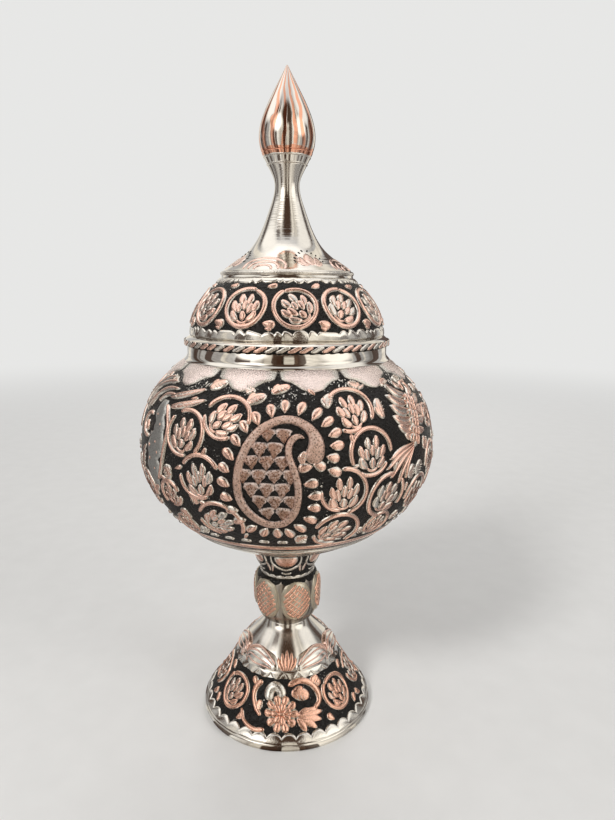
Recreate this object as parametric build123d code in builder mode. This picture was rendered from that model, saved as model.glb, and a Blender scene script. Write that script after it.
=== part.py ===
from build123d import *
import os
from math import pi, tan

# A footed copper bowl with a lift-off domed lid, spun from sheet in separate
# pieces. The hollow pieces of the pedestal are stacked flange on flange and
# drawn together by a tie rod; those of the lid are drawn together by a stud.
# Millimetres, +Z up, origin on the axis of turning, where the foot stands.

# ---------------------------------------------------------------- sheet
wall = 1.0  # sheet of the foot, the bowl and the dome
small_wall = 0.8  # sheet of the small spinnings

# ---------------------------------------------------------------- foot
foot_radius = 42.0
foot_height = 45.3
foot_rim_height = 2.4  # plain upright band at the ground
foot_hem = 4.0  # width of the edge turned in under the rim
foot_skirt_radius = 31.9  # where the flaring skirt is measured
foot_skirt_height = 15.0
foot_shoulder_radius = 24.75  # top of the skirt, under the rounded shoulder
foot_shoulder_height = 27.0
foot_shoulder_slope = 0.5  # run per unit of rise at the shoulder
foot_cove_radius = 13.6  # where the foot's neck starts to sweep out
foot_cove_height = 41.0
foot_throat_radius = 11.0

# ---------------------------------------------------------------- knop
knop_height = 24.7
knop_foot_radius = 11.0
knop_belly_radius = 15.6
knop_belly_height = 13.7  # above the knop's own seat
knop_top_radius = 13.2
petal_count = 6
petal_width = 16.0
petal_height = 20.8
petal_middle = 14.0  # height of a petal's middle above the knop's seat
petal_lift = 0.6  # how far a petal stands out of the knop
petal_turn = -11.0  # degrees round from +X to the first petal's middle

# ---------------------------------------------------------------- calyx
calyx_height = 13.8
calyx_foot_radius = 13.2
calyx_top_radius = 18.0

# ---------------------------------------------------------------- bowl
bowl_height = 91.0  # from its seat on the calyx to its mouth
bowl_floor_radius = 16.0
bowl_flank_radius = 51.9  # a point of the lower curve
bowl_flank_height = 19.2
bowl_belly_radius = 67.35
bowl_belly_height = 50.8
bowl_shoulder_radius = 62.05  # a point of the upper curve
bowl_shoulder_height = 74.2
bowl_mouth_radius = 46.3  # outer edge of the flat lip round the mouth
lappet_count = 12
lappet_lift = 0.4  # how far a lappet stands out of the shoulder
lappet_length = 12.6  # from the mouth to its tip, down the slope
lappet_gap = 0.35  # half the groove between two lappets at the mouth
lappet_shoulder_drop = 4.0
lappet_cusp_drop = 6.6  # where the lappet narrows to its tip
lappet_cusp_share = 0.62  # of the half width that is left there
lappet_turn = 12.8  # degrees round from +X to the first lappet's middle

# ---------------------------------------------------------------- collar
collar_setback = 0.7  # lip of the bowl that shows outside the collar
collar_height = 6.6
collar_thickness = 2.2  # the band is hemmed double
collar_step = 1.0  # how far the band stands out over its spigot
spigot_depth = 3.6  # how far the spigot reaches into the bowl's mouth

# ---------------------------------------------------------------- lid
lid_seat_gap = 0.2  # dark line between the lid's rim and the collar
plug_clearance = 0.35  # between the plug ring and the collar, on radius
plug_depth = 7.5  # how far the plug ring reaches into the collar
plug_thickness = 1.0
rim_overhang = 1.2  # how far the rim band stands out over the collar
rim_band_height = 2.4  # upright face that carries the rope
flange_rise = 2.0  # sloping top of the rim band, up to the dome
flange_run = 2.7  # from the rim band's edge in to the dome
dome_height = 25.0  # from the flange to the brim's lower edge
dome_shoulder_radius = 38.45  # a point of the dome's curve
dome_shoulder_height = 15.2
brim_radius = 29.8
brim_height = 2.7  # upright edge round the dome's flat top
neck_foot_radius = 29.4
neck_height = 45.4
neck_flare_radius = 16.7  # two points of the trumpet's flare
neck_flare_height = 9.8
neck_taper_radius = 8.0
neck_taper_height = 27.0
neck_waist_radius = 5.5
neck_waist_height = 37.3
neck_top_radius = 8.5
cup_height = 5.2
cup_foot_radius = 8.5
cup_top_radius = 11.2
bud_height = 35.7
bud_foot_radius = 11.0
bud_belly_radius = 12.35
bud_belly_height = 5.9
bud_flank_radius = 7.7  # a point of the bud's long flank
bud_flank_height = 21.7
bud_tip_radius = 0.3
bud_hollow_share = 0.75  # how far up its side the bud is hollow

# ---------------------------------------------------------------- fastenings
rod_radius = 3.0
stud_radius = 2.0
thread_clearance = 0.05  # between a thread and its nut
hole_clearance = 0.3  # between a rod and the flanges that it passes
fit_clearance = 0.1  # between a spigot and its socket
washer_thickness = 1.2
washer_width = 4.0  # how far a washer reaches past its hole
tie_nut_width = 10.0  # across the flats
tie_nut_height = 5.0
stud_nut_width = 7.0
stud_nut_height = 3.2
stud_head_radius = 4.5
stud_head_height = 2.0
thread_end = 1.6  # thread that stands out of a nut
rod_chamfer = 0.5
cap_dome_radius = 4.6
edge_break = 0.3
plug_lead_in = 0.4

# ---------------------------------------------------------------- heights
knop_seat = foot_height
calyx_seat = knop_seat + knop_height
bowl_seat = calyx_seat + calyx_height
mouth = bowl_seat + bowl_height
collar_top = mouth + collar_height
lid_seat = collar_top + lid_seat_gap
dome_seat = lid_seat + rim_band_height + flange_rise
brim_foot = dome_seat + dome_height
neck_seat = brim_foot + brim_height
cup_seat = neck_seat + neck_height
bud_seat = cup_seat + cup_height
tip = bud_seat + bud_height

# ---------------------------------------------------------------- fits
rod_hole = rod_radius + hole_clearance
stud_hole = stud_radius + hole_clearance
collar_radius = bowl_mouth_radius - collar_setback
collar_bore = collar_radius - collar_thickness
spigot_radius = collar_radius - collar_step
mouth_bore = spigot_radius + fit_clearance
plug_radius = collar_bore - plug_clearance
rim_band_radius = collar_radius + rim_overhang
rim_band_bore = plug_radius + fit_clearance
dome_foot_radius = rim_band_radius - flange_run
dome_lip = plug_radius - plug_thickness  # inner edge of the dome's foot

os.makedirs("parts", exist_ok=True)


def save(builder, name):
    """Label a finished piece and write it to a file of its own."""
    builder.part.label = name
    export_step(builder.part, f"parts/{name}.step")


def parallel(curve, inset, end=1, steps=5):
    """Draw a curve alongside another, up to a share of its length, inset to its left."""
    marks = [end * step / steps for step in range(steps + 1)]
    points = [(curve @ mark) + (curve % mark).rotate(Axis.Z, 90) * inset for mark in marks]
    return Spline(*points, tangents=(curve % 0, curve % end))


def close_to_axis(low_end, high_end):
    """Join the ends of a side, drawn from low_end up to high_end, along the axis."""
    Polyline(high_end, (0, high_end.Y), (0, low_end.Y), low_end)


def keep_between(low, high):
    """Keep the part of a sketched section that lies between two heights."""
    with Locations((0, low)):
        Rectangle(bowl_belly_radius, high - low, align=Align.MIN, mode=Mode.INTERSECT)


def bore(radius, low, high):
    """Cut a round hole on the axis, between two heights."""
    with Locations((0, 0, low)):
        Cylinder(
            radius,
            high - low,
            align=(Align.CENTER, Align.CENTER, Align.MIN),
            mode=Mode.SUBTRACT,
        )


# ---------------------------------------------------------------- foot shell
# A trumpet with a rounded shoulder, closed by a flat top with a hole for the
# tie rod. The ground edge is an upright band, turned in underneath.
with BuildPart() as foot_shell:
    with BuildSketch(Plane.XZ):
        with BuildLine():
            skirt = Spline(
                (foot_radius, foot_rim_height),
                (foot_skirt_radius, foot_skirt_height),
                (foot_shoulder_radius, foot_shoulder_height),
                tangents=((-1, 1), (-foot_shoulder_slope, 1)),
            )
            cove = Spline(
                skirt @ 1,
                (foot_cove_radius, foot_cove_height),
                (foot_throat_radius, foot_height),
                tangents=((-foot_shoulder_slope, 1), (0, 1)),
            )
            Line((foot_radius, 0), skirt @ 0)
            close_to_axis(Vector(foot_radius, 0), cove @ 1)
        make_face()
    revolve(axis=Axis.Z)
    with BuildSketch(Plane.XZ):
        with BuildLine():
            inner_skirt = parallel(skirt, wall)
            inner_cove = parallel(cove, wall)
            Line((foot_radius - wall, wall), inner_skirt @ 0)
            close_to_axis(Vector(foot_radius - wall, wall), inner_cove @ 1)
        make_face()
        keep_between(wall, foot_height - wall)
    revolve(axis=Axis.Z, mode=Mode.SUBTRACT)
    bore(foot_radius - foot_hem, 0, wall)
    bore(rod_hole, foot_height - wall, foot_height)
save(foot_shell, "foot_shell")

# ---------------------------------------------------------------- stem knop
# One petal: an oval cut out of the knop's own shape, swollen a little.
with BuildPart() as petal:
    with BuildSketch(Plane.XZ):
        with BuildLine():
            knop_side = Spline(
                (knop_foot_radius, knop_seat),
                (knop_belly_radius, knop_seat + knop_belly_height),
                (knop_top_radius, calyx_seat),
                tangents=((2, 1), (-1, 1)),
            )
            close_to_axis(knop_side @ 0, knop_side @ 1)
        make_face()
        with BuildLine():
            petal_face = parallel(knop_side, -petal_lift, steps=2)
            close_to_axis(petal_face @ 0, petal_face @ 1)
        make_face()
        keep_between(knop_seat, calyx_seat)
    revolve(axis=Axis.Z)
    with BuildSketch(Plane.YZ):
        with Locations((0, knop_seat + petal_middle)):
            Ellipse(petal_width / 2, petal_height / 2)
    extrude(amount=knop_belly_radius + 2 * petal_lift, mode=Mode.INTERSECT)

# A hollow ball with flat ends, ringed by petals that meet at its belly.
with BuildPart() as stem_knop:
    with BuildSketch(Plane.XZ):
        with BuildLine():
            add(knop_side)
            close_to_axis(knop_side @ 0, knop_side @ 1)
        make_face()
    revolve(axis=Axis.Z)
    with PolarLocations(0, petal_count, start_angle=petal_turn):
        add(petal.part)
    with BuildSketch(Plane.XZ):
        with BuildLine():
            inner_knop = parallel(knop_side, small_wall, steps=3)
            close_to_axis(inner_knop @ 0, inner_knop @ 1)
        make_face()
        keep_between(knop_seat + small_wall, calyx_seat - small_wall)
    revolve(axis=Axis.Z, mode=Mode.SUBTRACT)
    bore(rod_hole, knop_seat, calyx_seat)
save(stem_knop, "stem_knop")

# ---------------------------------------------------------------- stem calyx
# A hollow cup with flat ends that flares to carry the bowl's floor.
with BuildPart() as stem_calyx:
    with BuildSketch(Plane.XZ):
        with BuildLine():
            calyx_side = Spline(
                (calyx_foot_radius, calyx_seat),
                (calyx_top_radius, bowl_seat),
                tangents=((0, 1), (1, 3)),
            )
            close_to_axis(calyx_side @ 0, calyx_side @ 1)
        make_face()
    revolve(axis=Axis.Z)
    with BuildSketch(Plane.XZ):
        with BuildLine():
            inner_calyx = parallel(calyx_side, small_wall, steps=3)
            close_to_axis(inner_calyx @ 0, inner_calyx @ 1)
        make_face()
        keep_between(calyx_seat + small_wall, bowl_seat - small_wall)
    revolve(axis=Axis.Z, mode=Mode.SUBTRACT)
    bore(rod_hole, calyx_seat, bowl_seat)
save(stem_calyx, "stem_calyx")

# ---------------------------------------------------------------- bowl, lower half
# The bowl is a flattened globe in two halves, butted and soldered round the
# belly. The lower half stands on a flat floor with a hole for the tie rod.
belly = bowl_seat + bowl_belly_height

with BuildPart() as bowl_lower:
    with BuildSketch(Plane.XZ):
        with BuildLine():
            underside = Spline(
                (bowl_floor_radius, bowl_seat),
                (bowl_flank_radius, bowl_seat + bowl_flank_height),
                (bowl_belly_radius, belly),
                tangents=((3, 1), (0, 1)),
            )
            close_to_axis(underside @ 0, underside @ 1)
        make_face()
    revolve(axis=Axis.Z)
    with BuildSketch(Plane.XZ):
        with BuildLine():
            inner_underside = parallel(underside, wall)
            close_to_axis(inner_underside @ 0, inner_underside @ 1)
        make_face()
        keep_between(bowl_seat + wall, belly)
    revolve(axis=Axis.Z, mode=Mode.SUBTRACT)
    bore(rod_hole, bowl_seat, bowl_seat + wall)
save(bowl_lower, "bowl_lower")

# ---------------------------------------------------------------- bowl, upper half
# One raised lappet: a bracket with a pointed tip, cut out of the shoulder's
# own shape, swollen a little. It hangs from the mouth down the shoulder.
with BuildPart() as lappet:
    with BuildSketch(Plane.XZ):
        with BuildLine():
            shoulder = Spline(
                (bowl_belly_radius, belly),
                (bowl_shoulder_radius, bowl_seat + bowl_shoulder_height),
                (bowl_mouth_radius, mouth),
                tangents=((0, 1), (-5, 4)),
            )
            close_to_axis(shoulder @ 0, shoulder @ 1)
        make_face()
        with BuildLine():
            lappet_face = parallel(shoulder, -lappet_lift, steps=3)
            close_to_axis(lappet_face @ 0, lappet_face @ 1)
        make_face()
        keep_between(belly, mouth)
    revolve(axis=Axis.Z)
    slope = (shoulder % 1).rotate(Axis.Z, -90)
    lappet_plane = Plane(
        origin=(bowl_mouth_radius, 0, mouth),
        x_dir=(0, 1, 0),
        z_dir=(slope.X, 0, slope.Y),
    )
    lappet_half = bowl_mouth_radius * tan(pi / lappet_count) - lappet_gap
    with BuildSketch(lappet_plane):
        with BuildLine():
            Polyline(
                (0, lappet_cusp_drop),
                (lappet_half, lappet_cusp_drop),
                (lappet_half, -lappet_shoulder_drop),
                (lappet_half * lappet_cusp_share, -lappet_cusp_drop),
                (0, -lappet_length),
            )
            mirror(about=Plane.YZ)
        make_face()
    extrude(amount=lappet_length, both=True, mode=Mode.INTERSECT)

with BuildPart() as bowl_upper:
    with BuildSketch(Plane.XZ):
        with BuildLine():
            add(shoulder)
            close_to_axis(shoulder @ 0, shoulder @ 1)
        make_face()
    revolve(axis=Axis.Z)
    with PolarLocations(0, lappet_count, start_angle=lappet_turn):
        add(lappet.part)
    with BuildSketch(Plane.XZ):
        with BuildLine():
            inner_shoulder = parallel(shoulder, wall)
            close_to_axis(inner_shoulder @ 0, inner_shoulder @ 1)
        make_face()
        keep_between(belly, mouth - wall)
    revolve(axis=Axis.Z, mode=Mode.SUBTRACT)
    bore(mouth_bore, mouth - wall, mouth)
save(bowl_upper, "bowl_upper")

# ---------------------------------------------------------------- tie rod
# What draws the pedestal and the bowl together: a rod with a washer and a nut
# under the foot's flat top, and a washer and a cap nut on the bowl's floor.
foot_washer_seat = foot_height - wall - washer_thickness
foot_nut_seat = foot_washer_seat - tie_nut_height
bowl_washer_seat = bowl_seat + wall
cap_nut_seat = bowl_washer_seat + washer_thickness
rod_foot = foot_nut_seat - thread_end
rod_top = cap_nut_seat + tie_nut_height

with BuildPart() as tie_rod:
    with BuildSketch(Plane.XY.offset(rod_foot)):
        Circle(rod_radius)
    extrude(amount=rod_top - rod_foot)
    chamfer(tie_rod.edges(), rod_chamfer)
save(tie_rod, "tie_rod")

with BuildPart() as foot_washer:
    with BuildSketch(Plane.XY.offset(foot_washer_seat)):
        Circle(rod_hole + washer_width)
        Circle(rod_hole, mode=Mode.SUBTRACT)
    extrude(amount=washer_thickness)
save(foot_washer, "foot_washer")

with BuildPart() as foot_nut:
    with BuildSketch(Plane.XY.offset(foot_nut_seat)):
        RegularPolygon(tie_nut_width / 2, 6, major_radius=False)
        Circle(rod_radius + thread_clearance, mode=Mode.SUBTRACT)
    extrude(amount=tie_nut_height)
save(foot_nut, "foot_nut")

with BuildPart() as bowl_washer:
    with BuildSketch(Plane.XY.offset(bowl_washer_seat)):
        Circle(rod_hole + washer_width)
        Circle(rod_hole, mode=Mode.SUBTRACT)
    extrude(amount=washer_thickness)
save(bowl_washer, "bowl_washer")

# A closed nut, smooth over its top so that it can be wiped clean.
with BuildPart() as bowl_cap_nut:
    with BuildSketch(Plane.XY.offset(cap_nut_seat)):
        RegularPolygon(tie_nut_width / 2, 6, major_radius=False)
    extrude(amount=tie_nut_height)
    with Locations((0, 0, cap_nut_seat + tie_nut_height)):
        Sphere(cap_dome_radius, arc_size1=0, align=(Align.CENTER, Align.CENTER, Align.MIN))
    bore(rod_radius + thread_clearance, cap_nut_seat, rod_top + thread_end)
save(bowl_cap_nut, "bowl_cap_nut")

# ---------------------------------------------------------------- mouth collar
# An upright polished band that stands on the bowl's lip, with a spigot down
# into the mouth. Its bore takes the lid's plug ring.
with BuildPart() as mouth_collar:
    with BuildSketch(Plane.XZ):
        with BuildLine():
            Polyline(
                (collar_bore, mouth - spigot_depth),
                (spigot_radius, mouth - spigot_depth),
                (spigot_radius, mouth),
                (collar_radius, mouth),
                (collar_radius, collar_top),
                (collar_bore, collar_top),
                close=True,
            )
        make_face()
    revolve(axis=Axis.Z)
    chamfer(mouth_collar.edges().group_by(Axis.Z)[-1], edge_break)
save(mouth_collar, "mouth_collar")

# ---------------------------------------------------------------- lid rim
# A solid ring: its upright face carries the engraved rope, its sloping top
# runs up to the foot of the dome.
with BuildPart() as lid_rim_band:
    with BuildSketch(Plane.XZ):
        with BuildLine():
            Polyline(
                (rim_band_bore, lid_seat),
                (rim_band_radius, lid_seat),
                (rim_band_radius, lid_seat + rim_band_height),
                (dome_foot_radius, dome_seat),
                (rim_band_bore, dome_seat),
                close=True,
            )
        make_face()
    revolve(axis=Axis.Z)
save(lid_rim_band, "lid_rim_band")

# The ring that centres the lid in the collar.
with BuildPart() as lid_plug_ring:
    with BuildSketch(Plane.XY.offset(collar_top - plug_depth)):
        Circle(plug_radius)
        Circle(plug_radius - plug_thickness, mode=Mode.SUBTRACT)
    extrude(amount=dome_seat - collar_top + plug_depth)
    lead_in = lid_plug_ring.edges().group_by(Axis.Z)[0].sort_by(SortBy.RADIUS)[-1]
    chamfer(lead_in, plug_lead_in)
save(lid_plug_ring, "lid_plug_ring")

# ---------------------------------------------------------------- lid dome
# A round dome on a foot turned in over the rim band and the plug ring, with
# an upright brim round its flat top.
with BuildPart() as lid_dome:
    with BuildSketch(Plane.XZ):
        with BuildLine():
            dome_side = Spline(
                (dome_foot_radius, dome_seat),
                (dome_shoulder_radius, dome_seat + dome_shoulder_height),
                (brim_radius, brim_foot),
                tangents=((0, 1), (-1, 1)),
            )
            Line(dome_side @ 1, (brim_radius, neck_seat))
            close_to_axis(dome_side @ 0, Vector(brim_radius, neck_seat))
        make_face()
    revolve(axis=Axis.Z)
    with BuildSketch(Plane.XZ):
        with BuildLine():
            inner_dome = parallel(dome_side, wall)
            close_to_axis(inner_dome @ 0, inner_dome @ 1)
        make_face()
        with Locations((0, dome_seat)):
            Rectangle(brim_radius - wall, neck_seat - dome_seat, align=Align.MIN)
        keep_between(dome_seat + wall, neck_seat - wall)
    revolve(axis=Axis.Z, mode=Mode.SUBTRACT)
    bore(dome_lip, dome_seat, dome_seat + wall)
    bore(stud_hole, neck_seat - wall, neck_seat)
save(lid_dome, "lid_dome")

# ---------------------------------------------------------------- lid neck
# A slender trumpet: its foot stands on the dome's flat top, its mouth turns
# out to carry the finial.
with BuildPart() as lid_neck:
    with BuildSketch(Plane.XZ):
        with BuildLine():
            flare = Spline(
                (neck_foot_radius, neck_seat),
                (neck_flare_radius, neck_seat + neck_flare_height),
                (neck_taper_radius, neck_seat + neck_taper_height),
                (neck_waist_radius, neck_seat + neck_waist_height),
                tangents=((-5, 4), (0, 1)),
            )
            lip = Spline(
                flare @ 1,
                (neck_top_radius, cup_seat),
                tangents=((0, 1), (1, 2)),
            )
            close_to_axis(flare @ 0, lip @ 1)
        make_face()
    revolve(axis=Axis.Z)
    with BuildSketch(Plane.XZ):
        with BuildLine():
            inner_flare = parallel(flare, small_wall)
            inner_lip = parallel(lip, small_wall)
            close_to_axis(inner_flare @ 0, inner_lip @ 1)
        make_face()
        keep_between(neck_seat - small_wall, cup_seat - small_wall)
    revolve(axis=Axis.Z, mode=Mode.SUBTRACT)
    bore(stud_hole, cup_seat - small_wall, cup_seat)
save(lid_neck, "lid_neck")

# ---------------------------------------------------------------- finial cup
with BuildPart() as finial_cup:
    with BuildSketch(Plane.XZ):
        with BuildLine():
            cup_side = Spline(
                (cup_foot_radius, cup_seat),
                (cup_top_radius, bud_seat),
                tangents=((1, 2), (1, 2)),
            )
            close_to_axis(cup_side @ 0, cup_side @ 1)
        make_face()
    revolve(axis=Axis.Z)
    with BuildSketch(Plane.XZ):
        with BuildLine():
            inner_cup = parallel(cup_side, small_wall, steps=2)
            close_to_axis(inner_cup @ 0, inner_cup @ 1)
        make_face()
        keep_between(cup_seat + small_wall, bud_seat)
    revolve(axis=Axis.Z, mode=Mode.SUBTRACT)
    bore(stud_hole, cup_seat, cup_seat + small_wall)
save(finial_cup, "finial_cup")

# ---------------------------------------------------------------- finial bud
# A hollow bud over a flat floor, drawn out to a solid point.
with BuildPart() as finial_bud:
    with BuildSketch(Plane.XZ):
        with BuildLine():
            bud_side = Spline(
                (bud_foot_radius, bud_seat),
                (bud_belly_radius, bud_seat + bud_belly_height),
                (bud_flank_radius, bud_seat + bud_flank_height),
                (bud_tip_radius, tip),
                tangents=((1, 2), (-1, 2)),
            )
            close_to_axis(bud_side @ 0, bud_side @ 1)
        make_face()
    revolve(axis=Axis.Z)
    with BuildSketch(Plane.XZ):
        with BuildLine():
            inner_bud = parallel(bud_side, small_wall, bud_hollow_share)
            close_to_axis(inner_bud @ 0, inner_bud @ 1)
        make_face()
        keep_between(bud_seat + small_wall, tip)
    revolve(axis=Axis.Z, mode=Mode.SUBTRACT)
    bore(stud_hole, bud_seat, bud_seat + small_wall)
save(finial_bud, "finial_bud")

# ---------------------------------------------------------------- finial stud
# What draws the lid together: a stud headed inside the bud, down through the
# cup and the neck to a washer and a nut under the dome's flat top.
lid_washer_seat = neck_seat - wall - washer_thickness
lid_nut_seat = lid_washer_seat - stud_nut_height
stud_foot = lid_nut_seat - thread_end
stud_head_seat = bud_seat + small_wall

with BuildPart() as finial_stud:
    with BuildSketch(Plane.XY.offset(stud_foot)):
        Circle(stud_radius)
    extrude(amount=stud_head_seat - stud_foot)
    chamfer(finial_stud.edges().group_by(Axis.Z)[0], rod_chamfer)
    with BuildSketch(Plane.XY.offset(stud_head_seat)):
        Circle(stud_head_radius)
    extrude(amount=stud_head_height)
save(finial_stud, "finial_stud")

with BuildPart() as lid_washer:
    with BuildSketch(Plane.XY.offset(lid_washer_seat)):
        Circle(stud_hole + washer_width)
        Circle(stud_hole, mode=Mode.SUBTRACT)
    extrude(amount=washer_thickness)
save(lid_washer, "lid_washer")

with BuildPart() as lid_nut:
    with BuildSketch(Plane.XY.offset(lid_nut_seat)):
        RegularPolygon(stud_nut_width / 2, 6, major_radius=False)
        Circle(stud_radius + thread_clearance, mode=Mode.SUBTRACT)
    extrude(amount=stud_nut_height)
save(lid_nut, "lid_nut")
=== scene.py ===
"""A footed sweet bowl with a lift-off domed lid, turned in copper, tinned and chased all over.

The turned shells are spun from their outlines. The raised work is laid flat,
strip by strip, and then wrapped on the shell that carries it. Sizes are in
millimetres until a piece is finished, when it is brought to metres.
"""

import logging
import math
from collections.abc import Callable, Mapping, Sequence
from dataclasses import dataclass, replace
from enum import Enum

import bmesh
import bpy
import numpy as np
from bmesh.types import BMesh, BMFace, BMVert
from mathutils import Euler, Matrix, Vector


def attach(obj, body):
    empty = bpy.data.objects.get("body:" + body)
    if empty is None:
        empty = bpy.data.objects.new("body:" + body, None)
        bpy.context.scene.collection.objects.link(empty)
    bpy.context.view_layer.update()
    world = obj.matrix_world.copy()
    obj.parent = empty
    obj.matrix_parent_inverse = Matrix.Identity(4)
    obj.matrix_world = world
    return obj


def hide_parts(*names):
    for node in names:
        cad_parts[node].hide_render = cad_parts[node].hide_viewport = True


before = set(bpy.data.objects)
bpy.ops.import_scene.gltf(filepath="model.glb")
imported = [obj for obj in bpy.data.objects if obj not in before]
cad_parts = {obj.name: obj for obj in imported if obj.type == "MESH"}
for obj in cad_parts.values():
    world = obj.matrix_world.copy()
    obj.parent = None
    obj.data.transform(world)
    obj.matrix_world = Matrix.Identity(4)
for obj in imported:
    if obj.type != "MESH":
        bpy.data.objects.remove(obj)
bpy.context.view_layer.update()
LOG = logging.getLogger("sweet_bowl")
MM = 0.001
TOP = 999.0
Point = tuple[float, float]
Triple = tuple[float, float, float]
Points = tuple[Point, ...]
Numbers = tuple[float, ...]
Colour = tuple[float, float, float, float]
Rows = np.ndarray
Curve = Callable[[Rows], Rows]
Node = bpy.types.Node
Socket = bpy.types.NodeSocket


# ------------------------------------------------------------------ outlines
@dataclass(frozen=True)
class TurnedLine:
    """A smooth line in the half plane of a turned piece, from its foot up.

    Each point is a radius and a height; start and end are the slopes there.
    """

    points: Points
    start: Point
    end: Point

    def slopes(self, marks: Rows, chord: Rows) -> Rows:
        """Work out the slopes at the points, so that the line bends evenly through them.

        Args:
            marks: the points.
            chord: the distances between them.

        Returns:
            Rows of slopes in radius and height.
        """
        count = len(marks)
        system = np.eye(count)
        target = np.zeros((count, 2))
        target[0] = np.array(self.start) / math.hypot(*self.start)
        target[-1] = np.array(self.end) / math.hypot(*self.end)
        for i in range(1, count - 1):
            before, after = chord[i - 1], chord[i]
            system[i, i - 1:i + 2] = (after, 2 * (before + after), before)
            rise_before = (marks[i] - marks[i - 1]) / before
            rise_after = (marks[i + 1] - marks[i]) / after
            target[i] = 3 * (after * rise_before + before * rise_after)
        return np.linalg.solve(system, target)

    def sample(self, step: float = 0.6) -> Rows:
        """Work out points along the line.

        Args:
            step: rough distance apart.

        Returns:
            Rows of radius and height, from the foot up.
        """
        marks = np.array(self.points, float)
        chord = np.hypot(*np.diff(marks, axis=0).T)
        reach = np.concatenate(([0.0], np.cumsum(chord)))
        slope = self.slopes(marks, chord)
        where = np.linspace(0, reach[-1], max(3, math.ceil(reach[-1] / step) + 1))
        i = np.clip(np.searchsorted(reach, where, side="right") - 1, 0, len(marks) - 2)
        span = chord[i][:, None]
        t = ((where - reach[i]) / chord[i])[:, None]
        return (
            (2 * t**3 - 3 * t**2 + 1) * marks[i]
            + (t**3 - 2 * t**2 + t) * span * slope[i]
            + (3 * t**2 - 2 * t**3) * marks[i + 1]
            + (t**3 - t**2) * span * slope[i + 1]
        )


def straight(*points: Point) -> Rows:
    """Give a line of straight runs as rows of radius and height."""
    return np.array(points, float)


def run_along(path: Rows) -> Rows:
    """Give the distance run at each point of a path."""
    return np.concatenate(([0.0], np.cumsum(np.hypot(*np.diff(path, axis=0).T))))


class TurnedSurface:
    """The outside of turned work, measured along its outline from the foot up."""

    def __init__(self, *lines: Rows) -> None:
        """Join sampled lines into one outline.

        Args:
            lines: rows of radius and height.
        """
        rows = np.vstack(lines)
        keep = np.concatenate(([True], np.hypot(*np.diff(rows, axis=0).T) > 1e-4))
        self.outline = rows[keep]
        self.reach = run_along(self.outline)
        along = np.gradient(self.outline, self.reach, axis=0)
        along /= np.hypot(*along.T)[:, None]
        self.normal = np.column_stack((along[:, 1], -along[:, 0]))

    def reach_at(self, height: float) -> float:
        """Give the distance along the outline at a height."""
        return float(np.interp(height, self.outline[:, 1], self.reach))

    def radius_at(self, height: float) -> float:
        """Give the radius at a height."""
        return float(np.interp(height, self.outline[:, 1], self.outline[:, 0]))

    def wrap(self, flat: Rows, angle: float, height: float) -> Rows:
        """Lay flat work on the surface.

        Args:
            flat: rows of right, up and outwards.
            angle: where its middle goes.
            height: the middle's height.

        Returns:
            Rows of x, y and z.
        """
        reach = self.reach_at(height) + flat[:, 1]
        radius, rise = (np.interp(reach, self.reach, rows) for rows in self.outline.T)
        out, up = (np.interp(reach, self.reach, rows) for rows in self.normal.T)
        turn = math.radians(angle) + flat[:, 0] / np.maximum(radius, 0.5)
        far = radius + out * flat[:, 2]
        return np.column_stack((far * np.sin(turn), -far * np.cos(turn), rise + up * flat[:, 2]))

    def closed(self, wall: float) -> tuple[Rows, int]:
        """Close the outline with the inside of a sheet, one wall in.

        Args:
            wall: the sheet's thickness.

        Returns:
            The section, and the first row of the inside.
        """
        rows = self.outline - self.normal * wall
        rows[:, 0] = np.maximum(rows[:, 0], 0.02)
        every_third = rows[::-1][::3]
        return np.vstack((self.outline, every_third)), len(self.outline)


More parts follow.
